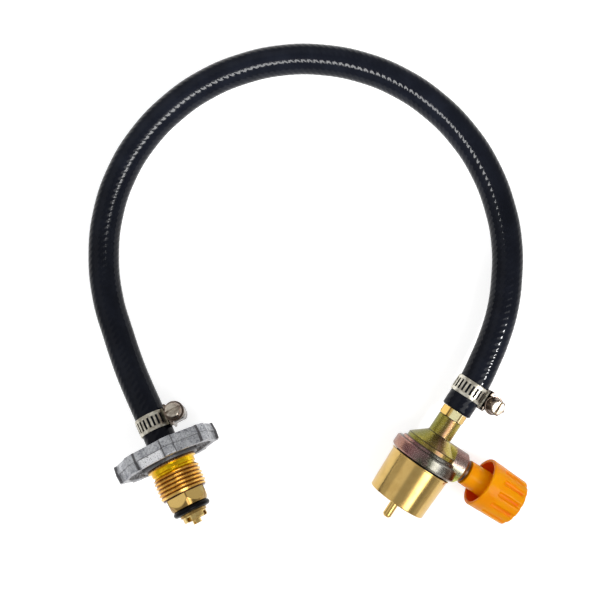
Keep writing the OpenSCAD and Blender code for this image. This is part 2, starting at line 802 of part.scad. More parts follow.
// Moulded knob: a sleeve over the spindle inside a hollow, fluted skirt
module knob() {
    ro = skirt_d / 2;
    re = knob_end_d / 2;
    rs = sleeve_d / 2;
    inner_end = knob_end_x - knob_end_t;
    edge = 0.6;
    color("#ff7a1a") at_spindle() difference() {
        turned([
            [0, sleeve_x], [rs - 0.3, sleeve_x], [rs, sleeve_x + 0.3], [rs + 0.3, inner_end],
            [re - skirt_wall - 0.6, inner_end], [ro - skirt_wall, skirt_x + 0.5],
            [ro - skirt_wall + 0.4, skirt_x], [ro - 0.4, skirt_x], [ro, skirt_x + 0.5],
            [re, knob_end_x - edge], [re - edge, knob_end_x], [0, knob_end_x]
        ]);
        for (i = [0:flute_n - 1]) rotate([0, 0, flute_turn + i * 360 / flute_n]) flute();
        difference() {
            bar(spindle_d + 2 * seat_gap, -far, spindle_end_x + seat_gap);
            translate([spindle_d / 2 - 0.8 + seat_gap, -far / 2, sleeve_x + 3 - seat_gap])
                cube([far, far, far]);
        }
        bar(3.4, -far, far);
        bar(knob_screw_d + 0.4, knob_end_x - screw_pocket_h, far);
    }
}

module knob_screw() {
    seat = knob_end_x - screw_pocket_h + seat_gap;
    color("#a8a8a8") at_spindle() difference() {
        union() {
            bar(shank_d, spindle_end_x - shank_l, seat);
            turned([
                [0, seat], [knob_screw_d / 2, seat], [knob_screw_d / 2, seat + 0.6],
                [knob_screw_d / 2 - 0.9, seat + 1.4], [0, seat + 1.4]
            ]);
        }
        translate([-far / 2, -0.45, seat + 0.6]) cube([far, 0.9, far]);
    }
}

hose();
pol_nipple();
nose_o_ring();
flow_guard_cage();
flow_guard_plunger();
flow_guard_spring();
pol_nut();
handwheel();
left_clamp_band();
left_clamp_housing();
left_clamp_screw();
right_clamp_band();
right_clamp_housing();
right_clamp_screw();
hose_tail();
valve_body();
cup_gasket();
bottle_cup();
bottle_seal();
fill_probe();
gland_nut();
spindle_o_ring();
valve_spindle();
knob();
knob_screw();
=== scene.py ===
"""Dresses the gas hose: braided rubber, worm clamps, cylinder connector, needle valve and knob.

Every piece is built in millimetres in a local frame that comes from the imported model's joints and
mounts, and is then set in the row's frame in metres.
"""
import enum
import json
import logging
import math
from contextlib import contextmanager
from dataclasses import dataclass
from itertools import product
from typing import Any, Callable, ClassVar, Iterator, Sequence

import bmesh
import bpy
import numpy as np
from bpy.types import Material, Mesh, Node, NodeSocket, NodeTree, Object
from mathutils import Matrix, Vector


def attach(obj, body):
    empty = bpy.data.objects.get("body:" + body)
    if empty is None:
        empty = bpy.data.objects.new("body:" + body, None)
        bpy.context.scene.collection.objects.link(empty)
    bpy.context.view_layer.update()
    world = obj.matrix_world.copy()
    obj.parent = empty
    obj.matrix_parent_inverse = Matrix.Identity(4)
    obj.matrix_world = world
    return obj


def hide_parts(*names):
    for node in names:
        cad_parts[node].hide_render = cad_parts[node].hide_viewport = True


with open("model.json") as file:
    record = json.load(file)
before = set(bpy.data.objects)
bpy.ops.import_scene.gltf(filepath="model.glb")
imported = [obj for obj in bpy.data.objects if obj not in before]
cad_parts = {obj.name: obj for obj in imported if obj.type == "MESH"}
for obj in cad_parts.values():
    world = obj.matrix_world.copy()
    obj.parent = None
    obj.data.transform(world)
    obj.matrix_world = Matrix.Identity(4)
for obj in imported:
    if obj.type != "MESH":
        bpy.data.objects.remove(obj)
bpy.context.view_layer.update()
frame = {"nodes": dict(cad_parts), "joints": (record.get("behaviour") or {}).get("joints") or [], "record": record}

LOG = logging.getLogger("gas_hose")
MM = 0.001
TURN = 2 * math.pi
SIXTH = math.pi / 3
QUARTER = math.radians(90)
BORE_R = 2.2
TAIL_R = 3.3
BARB_R = 3.8
Array = np.ndarray
Colour = tuple[float, float, float]
Fixed = dict[str, Any]
Stops = tuple[tuple[float, Colour], ...]
Rule = Callable[[Array, Array, Array], Array]


# ---------------------------------------------------------------- places


@dataclass(frozen=True)
class Place:
    """A local frame in millimetres, set in the row's frame in metres.

    Args:
        origin: the frame's origin, in metres.
        x: its first axis.
        y: its second axis.
        z: its third axis, the one that pieces are turned about.
    """

    origin: Vector
    x: Vector
    y: Vector
    z: Vector

    def matrix(self) -> Matrix:
        """Returns the matrix from local millimetres to metres in the row's frame."""
        turn = Matrix((self.x, self.y, self.z)).transposed().to_4x4()
        return Matrix.Translation(self.origin) @ turn @ Matrix.Scale(MM, 4)

    def moved(self, x: float = 0.0, y: float = 0.0, z: float = 0.0) -> "Place":
        """Returns the same frame moved by millimetres along its own axes."""
        step = self.x * x + self.y * y + self.z * z
        return Place(self.origin + step * MM, self.x, self.y, self.z)

    def rolled(self, degrees: float) -> "Place":
        """Returns the same frame turned about its own third axis."""
        turn = Matrix.Rotation(math.radians(degrees), 3, self.z)
        return Place(self.origin, turn @ self.x, turn @ self.y, self.z)

    def turned_over(self) -> "Place":
        """Returns the same frame turned half round its own first axis."""
        return Place(self.origin, self.x, -self.y, -self.z)

    def across(self) -> "Place":
        """Returns the frame whose third axis is this one's first axis."""
        return Place(self.origin, -self.z, self.y, self.x)

    def tangent(self) -> "Place":
        """Returns the frame whose third axis is this one's second axis."""
        return Place(self.origin, self.x, -self.z, self.y)


def named(items: Sequence[dict[str, Any]], name: str) -> dict[str, Any]:
    """Returns the one of the model's joints or mounts that has a name.

    Args:
        items: the model's joints or mounts.
        name: the name.

    Returns:
        The item.
    """
    return next(item for item in items if item["name"] == name)


def connector_place() -> Place:
    """Returns the cylinder connector's frame: hand wheel's middle plane, nose along +Z."""
    found = named(frame["joints"], "union_turn")
    z = Vector(found["axis"]).normalized()
    y = Vector((0, 0, 1)).cross(z).normalized()
    return Place(Vector(found["pos_m"]), y.cross(z), y, z)


def valve_place(spindle_up: float) -> Place:
    """Returns the valve's frame: flange's middle plane, hose along +Z, knob along +X.

    Args:
        spindle_up: distance from the flange's middle plane to the spindle's axis, in millimetres.

    Returns:
        The frame.
    """
    spindle = named(frame["joints"], "knob_turn")
    probe = named(frame["record"]["mounts"], "fill_probe")
    x, z = Vector(spindle["axis"]).normalized(), -Vector(probe["axis"]).normalized()
    return Place(Vector(spindle["pos_m"]) - z * spindle_up * MM, x, z.cross(x), z)


# ---------------------------------------------------------------- node graphs


def operator(operation: str, reflected: bool = False) -> Callable[..., "Value"]:
    """Makes a method that adds a Math node.

    Args:
        operation: the node's operation.
        reflected: whether the other operand comes first.

    Returns:
        The method.
    """
    def method(value: "Value", other: "Value | float | None" = None) -> "Value":
        """Adds the node and returns its value."""
        pair = (other, value) if reflected else (value, other)
        return value.graph.value("ShaderNodeMath", {"operation": operation}, dict(enumerate(pair)))

    return method


class Value:
    """A socket in a node tree, with arithmetic that adds Math nodes."""

    def __init__(self, graph: "Graph", socket: NodeSocket) -> None:
        """Wraps one output socket of a graph."""
        self.graph = graph
        self.socket = socket

    __add__, __radd__ = operator("ADD"), operator("ADD", True)
    __sub__, __rsub__ = operator("SUBTRACT"), operator("SUBTRACT", True)
    __mul__, __rmul__ = operator("MULTIPLY"), operator("MULTIPLY", True)
    __truediv__, __rtruediv__ = operator("DIVIDE"), operator("DIVIDE", True)
    least, most = operator("MINIMUM"), operator("MAXIMUM")
    size, above = operator("ABSOLUTE"), operator("GREATER_THAN")
    sine, cosine, root = operator("SINE"), operator("COSINE"), operator("SQRT")
    turn_from, modulo = operator("ARCTAN2"), operator("MODULO")

    def clamped(self) -> "Value":
        """Returns the value held between 0 and 1."""
        return self.most(0.0).least(1.0)


Input = Value | float | int | tuple | str | bpy.types.ID | None


class Graph:
    """Adds nodes to a shader or geometry tree."""

    def __init__(self, tree: NodeTree) -> None:
        """Takes a node tree and empties it."""
        self.tree = tree
        tree.nodes.clear()

    def node(self, kind: str, settings: dict[str, Any] | None = None,
             inputs: dict[str | int, Input] | None = None) -> Node:
        """Adds one node.

        Args:
            kind: the node's type.
            settings: its properties, set before its sockets.
            inputs: values or links of its sockets, by name or number.

        Returns:
            The node.
        """
        made = self.tree.nodes.new(kind)
        for name, value in (settings or {}).items():
            setattr(made, name, value)
        for key, value in (inputs or {}).items():
            socket = made.inputs[key]
            if isinstance(value, Value):
                self.tree.links.new(value.socket, socket)
            elif socket.type == "RGBA":
                socket.default_value = (*value, 1.0)
            elif value is not None:
                socket.default_value = value
        return made

    def value(self, kind: str, settings: dict[str, Any] | None = None,
              inputs: dict[str | int, Input] | None = None, key: str | int = 0) -> Value:
        """Adds one node and returns one of its outputs.

        Args:
            kind: the node's type.
            settings: its properties.
            inputs: values or links of its sockets.
            key: which output.

        Returns:
            The output.
        """
        return Value(self, self.node(kind, settings, inputs).outputs[key])

    def split(self, vector: Value) -> tuple[Value, ...]:
        """Returns a vector's three parts."""
        node = self.node("ShaderNodeSeparateXYZ", None, {0: vector})
        return tuple(Value(self, socket) for socket in node.outputs)

    def join(self, x: Input, y: Input, z: Input) -> Value:
        """Returns the vector of three values."""
        return self.value("ShaderNodeCombineXYZ", None, {0: x, 1: y, 2: z})

    def mix(self, factor: Input, a: Value | Colour, b: Value | Colour) -> Value:
        """Returns the colour mixed from two, of which the factor is the second one's share."""
        inputs = {"Factor": factor, 6: a, 7: b}
        return self.value("ShaderNodeMix", {"data_type": "RGBA"}, inputs, 2)

    def noise(self, at: Value, scale: float, detail: float = 2.0, rough: float = 0.5) -> Value:
        """Returns a Noise texture's value."""
        inputs = {"Vector": at, "Scale": scale, "Detail": detail, "Roughness": rough}
        return self.value("ShaderNodeTexNoise", None, inputs)

    def ramp(self, factor: Value, stops: Stops) -> Value:
        """Returns an eased Color Ramp's colour for a factor.

        Args:
            factor: place along the ramp, 0 to 1.
            stops: positions and colours.

        Returns:
            The colour.
        """
        node = self.node("ShaderNodeValToRGB", None, {0: factor})
        node.color_ramp.interpolation = "EASE"
        while len(node.color_ramp.elements) < len(stops):
            node.color_ramp.elements.new(0.5)
        for element, (position, colour) in zip(node.color_ramp.elements, stops):
            element.position = position
            element.color = (*colour, 1.0)
        return Value(self, node.outputs[0])

    def far(self, x: Value, y: Value) -> Value:
        """Returns the distance of a point from the third axis."""
        return (x * x + y * y).root()

    def aside(self, turn: Value, pitch: float) -> Value:
        """Returns the angle from the middle of the sector that a turn falls in."""
        return (turn.modulo(pitch) - pitch / 2).size()

    def step(self, value: Value, low: float, high: float) -> Value:
        """Returns a smooth step from 0 at low to 1 at high."""
        inputs = {"Value": value, "From Min": low, "From Max": high}
        return self.value("ShaderNodeMapRange", {"interpolation_type": "SMOOTHSTEP"}, inputs)


# ---------------------------------------------------------------- finishes


Look = tuple[Value, Value, Value, float]


class Finish:
    """A material made of nodes in the piece's own coordinates."""

    title: str
    fixed: ClassVar[Fixed] = {}

    def material(self, place: Place | None = None) -> Material:
        """Builds the material.

        Args:
            place: the frame that its pattern is laid out in, or None for the row's frame.

        Returns:
            The material.
        """
        made = bpy.data.materials.new(self.title)
        made.use_nodes = True
        graph = Graph(made.node_tree)
        at = graph.value("ShaderNodeTexCoord", key="Object")
        at = graph.value("ShaderNodeVectorMath", {"operation": "SCALE"}, {0: at, "Scale": 1.0 / MM})
        if place is not None:
            turn = Matrix((place.x, place.y, place.z))
            shift = turn @ (place.origin / MM)
            at = graph.value("ShaderNodeMapping", None, {
                "Vector": at, "Rotation": tuple(turn.to_euler()), "Location": tuple(-shift)})
        colour, roughness, height, depth = self.look(graph, at)
        normal = graph.value("ShaderNodeBump", None, {
            "Height": height, "Distance": depth * MM, "Strength": 1.0})
        surface = graph.value("ShaderNodeBsdfPrincipled", None, {
            "Base Color": colour, "Roughness": roughness, "Normal": normal, **self.fixed})
        graph.node("ShaderNodeOutputMaterial", None, {0: surface})
        return made

    def look(self, graph: Graph, at: Value) -> Look:
        """Makes the pattern.

        Args:
            graph: the material's graph.
            at: the point in millimetres, in the pattern's frame.

        Returns:
            The colour, the roughness, the bump's height and its depth in millimetres.
        """
        raise NotImplementedError


@dataclass(frozen=True)
class Rubber(Finish):
    """Black rubber with a faint bloom and a fine grain."""

    title: str = "black_rubber"
    dark: Colour = (0.0045, 0.0055, 0.0095)
    bloom: Colour = (0.0070, 0.0085, 0.0140)
    roughness: float = 0.12
    grain: float = 0.003
    fixed: ClassVar[Fixed] = {"Specular IOR Level": 0.10}

    def look(self, graph: Graph, at: Value) -> Look:
        """Makes the cloudy colour and the grain."""
        cloud, grain = graph.noise(at, 0.12, 3.0), graph.noise(at, 3.5)
        colour = graph.mix(graph.step(cloud, 0.35, 0.7), self.dark, self.bloom)
        roughness = self.roughness + 0.10 * (cloud - 0.5) + 0.06 * (grain - 0.5)
        return colour, roughness, grain, self.grain


@dataclass(frozen=True)
class BraidedRubber(Rubber):
    """Black rubber with slanting ribs that follow the hose."""

    title: str = "braided_rubber"
    starts: float = 9.0
    pitch: float = 3.1
    rib: float = 0.070

    def look(self, graph: Graph, at: Value) -> Look:
        """Adds the ribs, from the hose's own attributes."""
        colour, roughness, grain, _ = super().look(graph, at)
        along, x, y = (graph.value("ShaderNodeAttribute", {"attribute_name": name}, key="Fac")
                       for name in ("along", "side_x", "side_y"))
        phase = along * (TURN / self.pitch) - y.turn_from(x) * self.starts
        return colour, roughness, 0.5 + 0.5 * phase.cosine() + grain * 0.03, self.rib


@dataclass(frozen=True)
class DieCast(Finish):
    """Raw die-cast zinc: grainy grey, with a painted highlight on one stretch of the rim, painted shade in its
    dishes, on its hub and along its blocks' edges, and a dark parting line.

    Radii and heights are in millimetres, and turns in radians.
    """

    title: str = "die_cast_zinc"
    light: Colour = (0.56, 0.57, 0.59)
    dark: Colour = (0.16, 0.165, 0.19)
    # shade colours the painted shade and the casting pits; glint colours the painted highlight.
    shade: Colour = (0.055, 0.05, 0.05)
    glint: Colour = (0.95, 0.95, 0.97)
    roughness: float = 0.40
    blocks: int = 8
    half_block: float = 0.113
    dish_r: float = 20.3
    rim_r: float = 21.6
    # The next three fields place the painted highlight on the rim: its radius, its turn and its half width.
    highlight_r: float = 21.4
    highlight_at: float = 3.927
    highlight_half: float = 0.27
    hub_r: float = 13.7
    hub_z: float = 4.0
    fixed: ClassVar[Fixed] = {"Metallic": 0.80}

    def look(self, graph: Graph, at: Value) -> Look:
        """Makes the cast skin, a painted highlight on the rim, painted shade in the dishes, on the hub and along
        the blocks' edges, and the parting line.
        """
        step, (x, y, z) = graph.step, graph.split(at)
        radius, pitch = graph.far(x, y), TURN / self.blocks
        flow, mottle = graph.noise(at, 0.16, 4.0, 0.6), graph.noise(at, 1.1, 3.0, 0.6)
        grain, pit = graph.noise(at, 2.6, 2.0, 0.6), step(graph.noise(at, 1.7, 1.0), 0.36, 0.29)
        turn = y.turn_from(x) + (TURN + pitch / 2)
        tone = step(flow * 0.45 + mottle * 0.35 + grain * 0.2, 0.38, 0.60)
        colour = graph.mix(tone, self.dark, self.light)
        # Painted highlight: a grainy bright patch on the rim's outside, on the nose side, at one turn round the
        # wheel.
        wear_and_highlight = step((turn - self.highlight_at).size(), self.highlight_half, self.highlight_half - 0.05)
        wear_and_highlight = wear_and_highlight * step(z, 0.0, 0.3) * step(radius, self.highlight_r, self.highlight_r + 0.5)
        colour = graph.mix(wear_and_highlight * step(grain, 0.30, 0.45) * 0.9, colour, self.glint)
        # Painted shade in the dishes, mottled.
        inside = step(radius, self.dish_r + 0.3, self.dish_r - 0.2) * step(z.size(), 3.9, 3.3)
        # Painted shade on the hub's nose side and on its top face beside the nut's lip.
        hub = step(radius, self.hub_r + 0.7, self.hub_r) * step(z, 1.4, 2.0)
        # Painted shade along the grip blocks' edges, joined with the dark parting line on the rim.
        edge = step((graph.aside(turn, pitch) - self.half_block).size(), 0.018, 0.006)
        edge_shade_and_seam = edge.most(step(z.size(), 0.24, 0.08) * 0.7)
        edge_shade_and_seam = edge_shade_and_seam * step(radius, self.rim_r, self.rim_r + 0.4)
        # Painted shade, the parting line and the casting pits all darken towards the shade colour.
        for share in (inside * (0.45 + 0.5 * step(mottle, 0.40, 0.60)),
                      hub.most(step(z, self.hub_z - 0.05, self.hub_z + 0.25)) * 0.75,
                      edge_shade_and_seam * 0.80, pit * 0.75):
            colour = graph.mix(share, colour, self.shade)
        height = mottle * 0.5 + grain * 0.35 + flow - pit * 0.8
        return colour, self.roughness + 0.25 * (mottle - 0.5) + 0.2 * pit, height, 0.15


@dataclass(frozen=True)
class TurnedMetal(Finish):
    """Turned metal: fine tool rings round the axis and a faint tarnish."""

    title: str
    bright: Colour
    tarnish: Colour
    tarnish_share: float
    roughness: float
    ring_scale: float = 5.0
    ring_depth: float = 0.004
    fixed: ClassVar[Fixed] = {"Metallic": 1.0}

    def look(self, graph: Graph, at: Value) -> Look:
        """Makes the rings and the tarnish."""
        x, y, z = graph.split(at)
        rings = graph.noise(graph.join(0.02 * x, 0.02 * y, z), self.ring_scale)
        cloud, fine = graph.noise(at, 0.22, 3.0), graph.noise(at, 2.4)
        stain = graph.step(cloud * 0.7 + fine * 0.3, 0.42, 0.66) * self.tarnish_share
        plain = graph.mix(stain, self.bright, self.tarnish)
        roughness = self.roughness + 0.12 * (rings - 0.5) + 0.10 * stain
        return self.tint(graph, at, stain, plain), roughness, rings, self.ring_depth

    def tint(self, graph: Graph, at: Value, stain: Value, plain: Value) -> Value:
        """Returns the metal's colour.

        Args:
            graph: the material's graph.
            at: the point in millimetres.
            stain: share of tarnish.
            plain: the colour of the plain, tarnished metal.

        Returns:
            The colour.
        """
        return plain


@dataclass(frozen=True)
class ThreadedBrass(TurnedMetal):
    """Turned brass with a browned lip and a copper-red screw thread, with painted shade in its grooves."""

    flank: Colour = (0.90, 0.57, 0.16)
    wear_and_highlight: Colour = (0.68, 0.37, 0.08)
    # The groove colour is painted shade down the thread's grooves; it is also the lip's dark speckle.
    groove: Colour = (0.085, 0.03, 0.012)
    lip: Colour = (0.36, 0.20, 0.085)
    crest: float = 11.15
    depth: float = 0.85
    low: float = 9.3
    lip_top: float = 5.75

    def tint(self, graph: Graph, at: Value, stain: Value, plain: Value) -> Value:
        """Adds the lip, the thread, and painted shade in the thread's grooves."""
        x, y, z = graph.split(at)
        speckle = graph.noise(at, 1.6, 3.0, 0.6)
        brown = graph.mix(graph.step(speckle, 0.4, 0.6), self.groove, self.lip)
        plain = graph.mix(graph.step(z, self.lip_top, self.lip_top - 0.2), plain, brown)
        faded = graph.step(speckle * 0.5 + stain * 0.5, 0.2, 0.6)
        # Painted shade down in the thread's grooves.
        sunk = graph.step(graph.far(x, y), self.crest - 0.74 * self.depth,
                          self.crest - 0.97 * self.depth)
        thread = graph.mix(sunk, graph.mix(faded, self.flank, self.wear_and_highlight), self.groove)
        return graph.mix(graph.step(z, self.low - 0.1, self.low + 0.2), plain, thread)


@dataclass(frozen=True)
class ScrewSteel(TurnedMetal):
    """Bare screw steel: a bright head's top, with painted shade on the head's sides and on the washer under it."""

    # The washer and side colours are painted shade under the head and on its sides.
    washer: Colour = (0.055, 0.040, 0.032)
    side: Colour = (0.26, 0.20, 0.16)
    washer_top: float = 6.67
    head_r: float = 3.1

    def tint(self, graph: Graph, at: Value, stain: Value, plain: Value) -> Value:
        """Adds painted shade on the head's sides and on the washer under it."""
        x, y, z = graph.split(at)
        radius = graph.far(x, y)
        # Painted shade on the head's sides, beyond its top.
        colour = graph.mix(graph.step(radius, self.head_r, self.head_r + 0.2), plain, self.side)
        rings = 0.5 + 0.5 * (radius * 7.0).cosine()
        # Painted shade on the washer under the head, over its turned rings.
        washer = graph.mix(rings * 0.6, self.washer, self.side)
        below = graph.step(z, self.washer_top + 0.13, self.washer_top)
        return graph.mix(below, colour, washer)


@dataclass(frozen=True)
class HexagonBrass(TurnedMetal):
    """Bright brass with painted shade: thin dark lines at a hexagon's corners and a darker gold on the flats
    beside the upper face, so that the middle stays brighter.
    """

    corner: float = 47.0
    # The line colour and the darker gold beside the upper face are painted shade.
    line: Colour = (0.20, 0.11, 0.03)
    side_flat_shade: Colour = (0.66, 0.44, 0.12)
    edge: tuple[float, float] = (0.41, 0.48)
    flat: float = 0.0

    def tint(self, graph: Graph, at: Value, stain: Value, plain: Value) -> Value:
        """Adds painted shade: a darker gold beside the upper face, thin dark lines at the corners, and, where
        flats are given, darkening on what lies inside them.
        """
        x, y, _ = graph.split(at)
        radius = graph.far(x, y)
        local = graph.aside(y.turn_from(x) + (2 * TURN - math.radians(self.corner)), SIXTH)
        # Painted shade: the flats beside the upper face darker gold.
        colour = graph.mix(graph.step((x / radius).size(), 0.42, 0.56), plain, self.side_flat_shade)
        # Painted shade on all that lies nearer the axis than the flats, such as the cone round them.
        if self.flat > 0:
            reach = graph.step(radius * local.cosine(), self.flat - 0.05, self.flat - 0.2)
            colour = graph.mix(reach * 0.7, colour, self.line)
        # Painted shade: thin dark lines at the hexagon's corners.
        return graph.mix(graph.step(local, *self.edge) * 0.85, colour, self.line)


@dataclass(frozen=True)
class Chromate(Finish):
    """Yellow chromate over turned steel: mauve, olive and yellow-green over a scratched ground, with painted
    highlights and reflections ramped round it and painted shade along its creases.
    """

    title: str = "yellow_chromate"
    # The rim and shoulder stops run round the axis: chromate tint, with painted highlights in the pale stops,
    # painted shade in the dark stops, and a painted reflection of the orange knob at the rim's far end.
    rim: Stops = (
        (0.00, (0.40, 0.21, 0.15)), (0.13, (0.22, 0.10, 0.10)), (0.28, (0.17, 0.105, 0.10)),
        (0.38, (0.075, 0.075, 0.05)), (0.50, (0.24, 0.23, 0.19)), (0.64, (0.28, 0.27, 0.24)),
        (0.78, (0.10, 0.065, 0.045)), (1.0, (0.34, 0.15, 0.05)),
    )
    shoulder: Stops = (
        (0.00, (0.20, 0.19, 0.035)), (0.18, (0.30, 0.25, 0.035)), (0.34, (0.20, 0.14, 0.035)),
        (0.48, (0.22, 0.12, 0.06)), (0.60, (0.28, 0.18, 0.06)), (0.74, (0.44, 0.35, 0.06)),
        (0.88, (0.40, 0.33, 0.05)), (1.0, (0.26, 0.16, 0.05)),
    )
    # The boss stops run across the boss: chromate tint, with a painted highlight in the pale middle.
    boss: Stops = (
        (0.00, (0.34, 0.32, 0.09)), (0.22, (0.60, 0.61, 0.14)), (0.46, (0.42, 0.40, 0.30)),
        (0.62, (0.34, 0.25, 0.22)), (0.84, (0.28, 0.16, 0.14)), (1.0, (0.18, 0.10, 0.085)),
    )
    pale: Colour = (0.74, 0.72, 0.62)
    dull: Colour = (0.07, 0.06, 0.045)
    # The colour of the painted shade along the creases and steps.
    crease_shade: Colour = (0.03, 0.025, 0.02)
    creases: tuple[float, ...] = (2.9, 4.45, 6.6, 12.3, 21.75)
    step_z: float = 4.2
    boss_x: float = 9.6
    boss_r: float = 8.0
    boss_d: float = 15.8
    spindle_up: float = 4.5
    roughness: float = 0.26
    fixed: ClassVar[Fixed] = {"Metallic": 0.96}

    def look(self, graph: Graph, at: Value) -> Look:
        """Makes the colours round the rim, shoulder and boss, chromate tint with painted highlights and
        reflections, the speckle, and painted shade along the creases.
        """
        mix, step, (x, y, z) = graph.mix, graph.step, graph.split(at)
        drift = graph.noise(at, 0.15) - 0.5
        # side runs round the axis, so the ramps on it paint highlights, shade and reflections by direction.
        side = 0.5 + 0.5 * (x / graph.far(x, y).most(0.1)) + 0.35 * drift
        up = z - self.spindle_up
        reach = self.boss_r ** 2
        on_boss = step(y * y + up * up, reach + 2.5, reach + 0.5)
        on_boss = on_boss * step(x, self.boss_x, self.boss_x + 1)
        colour = mix(step(z, self.step_z, self.step_z + 0.8), graph.ramp(side, self.rim),
                     graph.ramp(side, self.shoulder))
        # Painted highlight and chromate tint across the boss.
        lit = graph.ramp(0.5 + up / self.boss_d + 0.3 * drift, self.boss)
        colour = mix(on_boss, colour, lit)
        speckle = graph.noise(graph.join(x, y, 2.2 * z), 2.0, 3.0, 0.7)
        scratch = graph.noise(graph.join(0.3 * x, 0.3 * y, 5.0 * z), 1.3, 2.0, 0.6)
        colour = mix(step(speckle, 0.57, 0.68) * 0.34, colour, self.pale)
        colour = mix(step(speckle, 0.46, 0.34) * 0.60, colour, self.dull)
        # Painted shade along the creases and steps, off the boss.
        line, *others = (step((z - level).size(), 0.30, 0.10) for level in self.creases)
        for other in others:
            line = line.most(other)
        colour = mix(line * (1.0 - on_boss) * 0.85, colour, self.crease_shade)
        roughness = self.roughness + 0.25 * (speckle - 0.5) + 0.1 * (scratch - 0.5)
        return colour, roughness, speckle + 0.6 * scratch, 0.030


@dataclass(frozen=True)
class StripSteel(Finish):
    """Rolled strip steel: bright, faintly warm, with drawn lines along the strip."""

    title: str = "strip_steel"
    bright: Colour = (0.66, 0.63, 0.54)
    dull: Colour = (0.40, 0.37, 0.30)
    roughness: float = 0.34
    cloud_scale: float = 0.5
    fixed: ClassVar[Fixed] = {"Metallic": 1.0}

    def look(self, graph: Graph, at: Value) -> Look:
        """Makes the dull patches and the drawn lines."""
        x, y, z = graph.split(at)
        lines = graph.noise(graph.join(0.15 * x, 0.15 * y, z), 4.0, 3.0)
        cloud = graph.noise(at, self.cloud_scale, 3.0)
        colour = graph.mix(graph.step(cloud, 0.42, 0.60), self.bright, self.dull)
        return colour, self.roughness + 0.20 * (lines - 0.5) + 0.15 * (cloud - 0.5), lines, 0.008


@dataclass(frozen=True)
class KnobPlastic(Finish):
    """Glossy translucent orange plastic with faint moulding swirls, and painted shade in its flutes and its
    hollow.
    """

    title: str = "orange_plastic"
    warm: Colour = (1.0, 0.37, 0.0)
    deep: Colour = (1.0, 0.27, 0.0)
    # The next two are the redder colours of the painted shade in the hollow and in the flutes.
    inner: Colour = (0.95, 0.09, 0.0)
    fluted: Colour = (1.0, 0.20, 0.0)
    lean: float = 0.0284
    mouth: float = 28.75
    floor: float = 46.4
    roughness: float = 0.22
    fixed: ClassVar[Fixed] = {
        "Specular IOR Level": 0.10, "Subsurface Weight": 0.30,
        "Subsurface Radius": (1.0, 0.35, 0.05), "Subsurface Scale": 0.0018,
    }

    def look(self, graph: Graph, at: Value) -> Look:
        """Makes the swirls, and the painted shade that reddens the hollow and the flutes."""
        step, (x, y, z) = graph.step, graph.split(at)
        radius = graph.far(x, y)
        swirl, grain = graph.noise(at, 0.10), graph.noise(at, 2.0)
        outside = graph.mix(step(swirl, 0.4, 0.66) * 0.6, self.warm, self.deep)
        skin = radius + self.lean * (z - self.mouth)
        # Painted shade: the flutes redder.
        flute_shade = step(skin, 12.12, 11.75) * step(skin, 10.9, 11.0)
        flute_shade = flute_shade * step(z, self.floor + 0.5, self.floor)
        outside = graph.mix(flute_shade * 0.32, outside, self.fluted)
        # Painted shade: the inside of the skirt redder.
        hollow = step(radius, 11.0, 10.5) * step(radius, 6.4, 7.0)
        hollow = hollow * step(z, self.floor, self.floor - 0.5)
        colour = graph.mix(hollow * 0.9, outside, self.inner)
        return colour, self.roughness + 0.12 * (grain - 0.5), grain + 2.0 * swirl, 0.010


class Brass(enum.Enum):
    """The brasses and steels of the fittings."""

    UNION = ThreadedBrass("union_brass", (0.86, 0.56, 0.012), (0.60, 0.28, 0.006), 0.7, 0.24)
    NOSE = HexagonBrass("nose_brass", (0.76, 0.58, 0.25), (0.60, 0.38, 0.12), 0.7, 0.15,
                        side_flat_shade=(0.70, 0.48, 0.16), edge=(0.475, 0.505), flat=8.8)
    TAIL = HexagonBrass("tail_brass", (0.98, 0.91, 0.52), (0.92, 0.80, 0.40), 0.45, 0.16)
    CUP = TurnedMetal("cup_brass", (0.65, 0.44, 0.15), (0.54, 0.34, 0.10), 0.5, 0.17, 3.0, 0.0022)
    # The gland nut's brass, darkened all over as painted shade between the boss and the knob.
    SHADED_GLAND = TurnedMetal("dark_brass", (0.13, 0.075, 0.05), (0.05, 0.035, 0.03), 0.6, 0.34)
    SCREW = TurnedMetal("screw_steel", (0.56, 0.51, 0.45), (0.20, 0.15, 0.12), 0.8, 0.30)
    WORM = ScrewSteel("clamp_screw_steel", (0.62, 0.56, 0.47), (0.16, 0.115, 0.085), 0.85, 0.28)
    PLUG = TurnedMetal("plug_brass", (0.74, 0.56, 0.22), (0.50, 0.30, 0.09), 0.75, 0.17)
    WIRE = TurnedMetal("spring_wire", (0.52, 0.52, 0.54), (0.36, 0.36, 0.38), 0.4, 0.25)


SEAL = Rubber("seal_rubber", (0.0012, 0.0013, 0.0018), (0.0024, 0.0025, 0.003), 0.26, 0.004)


# ---------------------------------------------------------------- mesh helpers


def rounded(points: Sequence[tuple[float, ...]], closed: bool = True, steps: int = 3) -> Array:
    """Rounds the corners of an outline.

    Args:
        points: corners, each (first, second) or (first, second, radius).
        closed: whether the outline joins its last point to its first.
        steps: pieces of each round.

    Returns:
        The outline's points, as rows of two numbers.
    """
    result: list[Array] = []
    count = len(points)
    for i, point in enumerate(points):
        here = np.array(point[:2], float)
        if len(point) < 3 or not (closed or 0 < i < count - 1):
            result.append(here)
            continue
        before = np.array(points[i - 1][:2], float) - here
        after = np.array(points[(i + 1) % count][:2], float) - here
        long_a, long_b = np.linalg.norm(before), np.linalg.norm(after)
        before, after = before / long_a, after / long_b
        half = 0.5 * math.acos(float(np.clip(before @ after, -1.0, 1.0)))
        reach = min(point[2] / max(math.tan(half), 1e-3), 0.45 * long_a, 0.45 * long_b)
        for t in (k / steps for k in range(steps + 1)):
            result.append(here + before * reach * (1 - t) ** 2 + after * reach * t ** 2)
    return np.array(result)


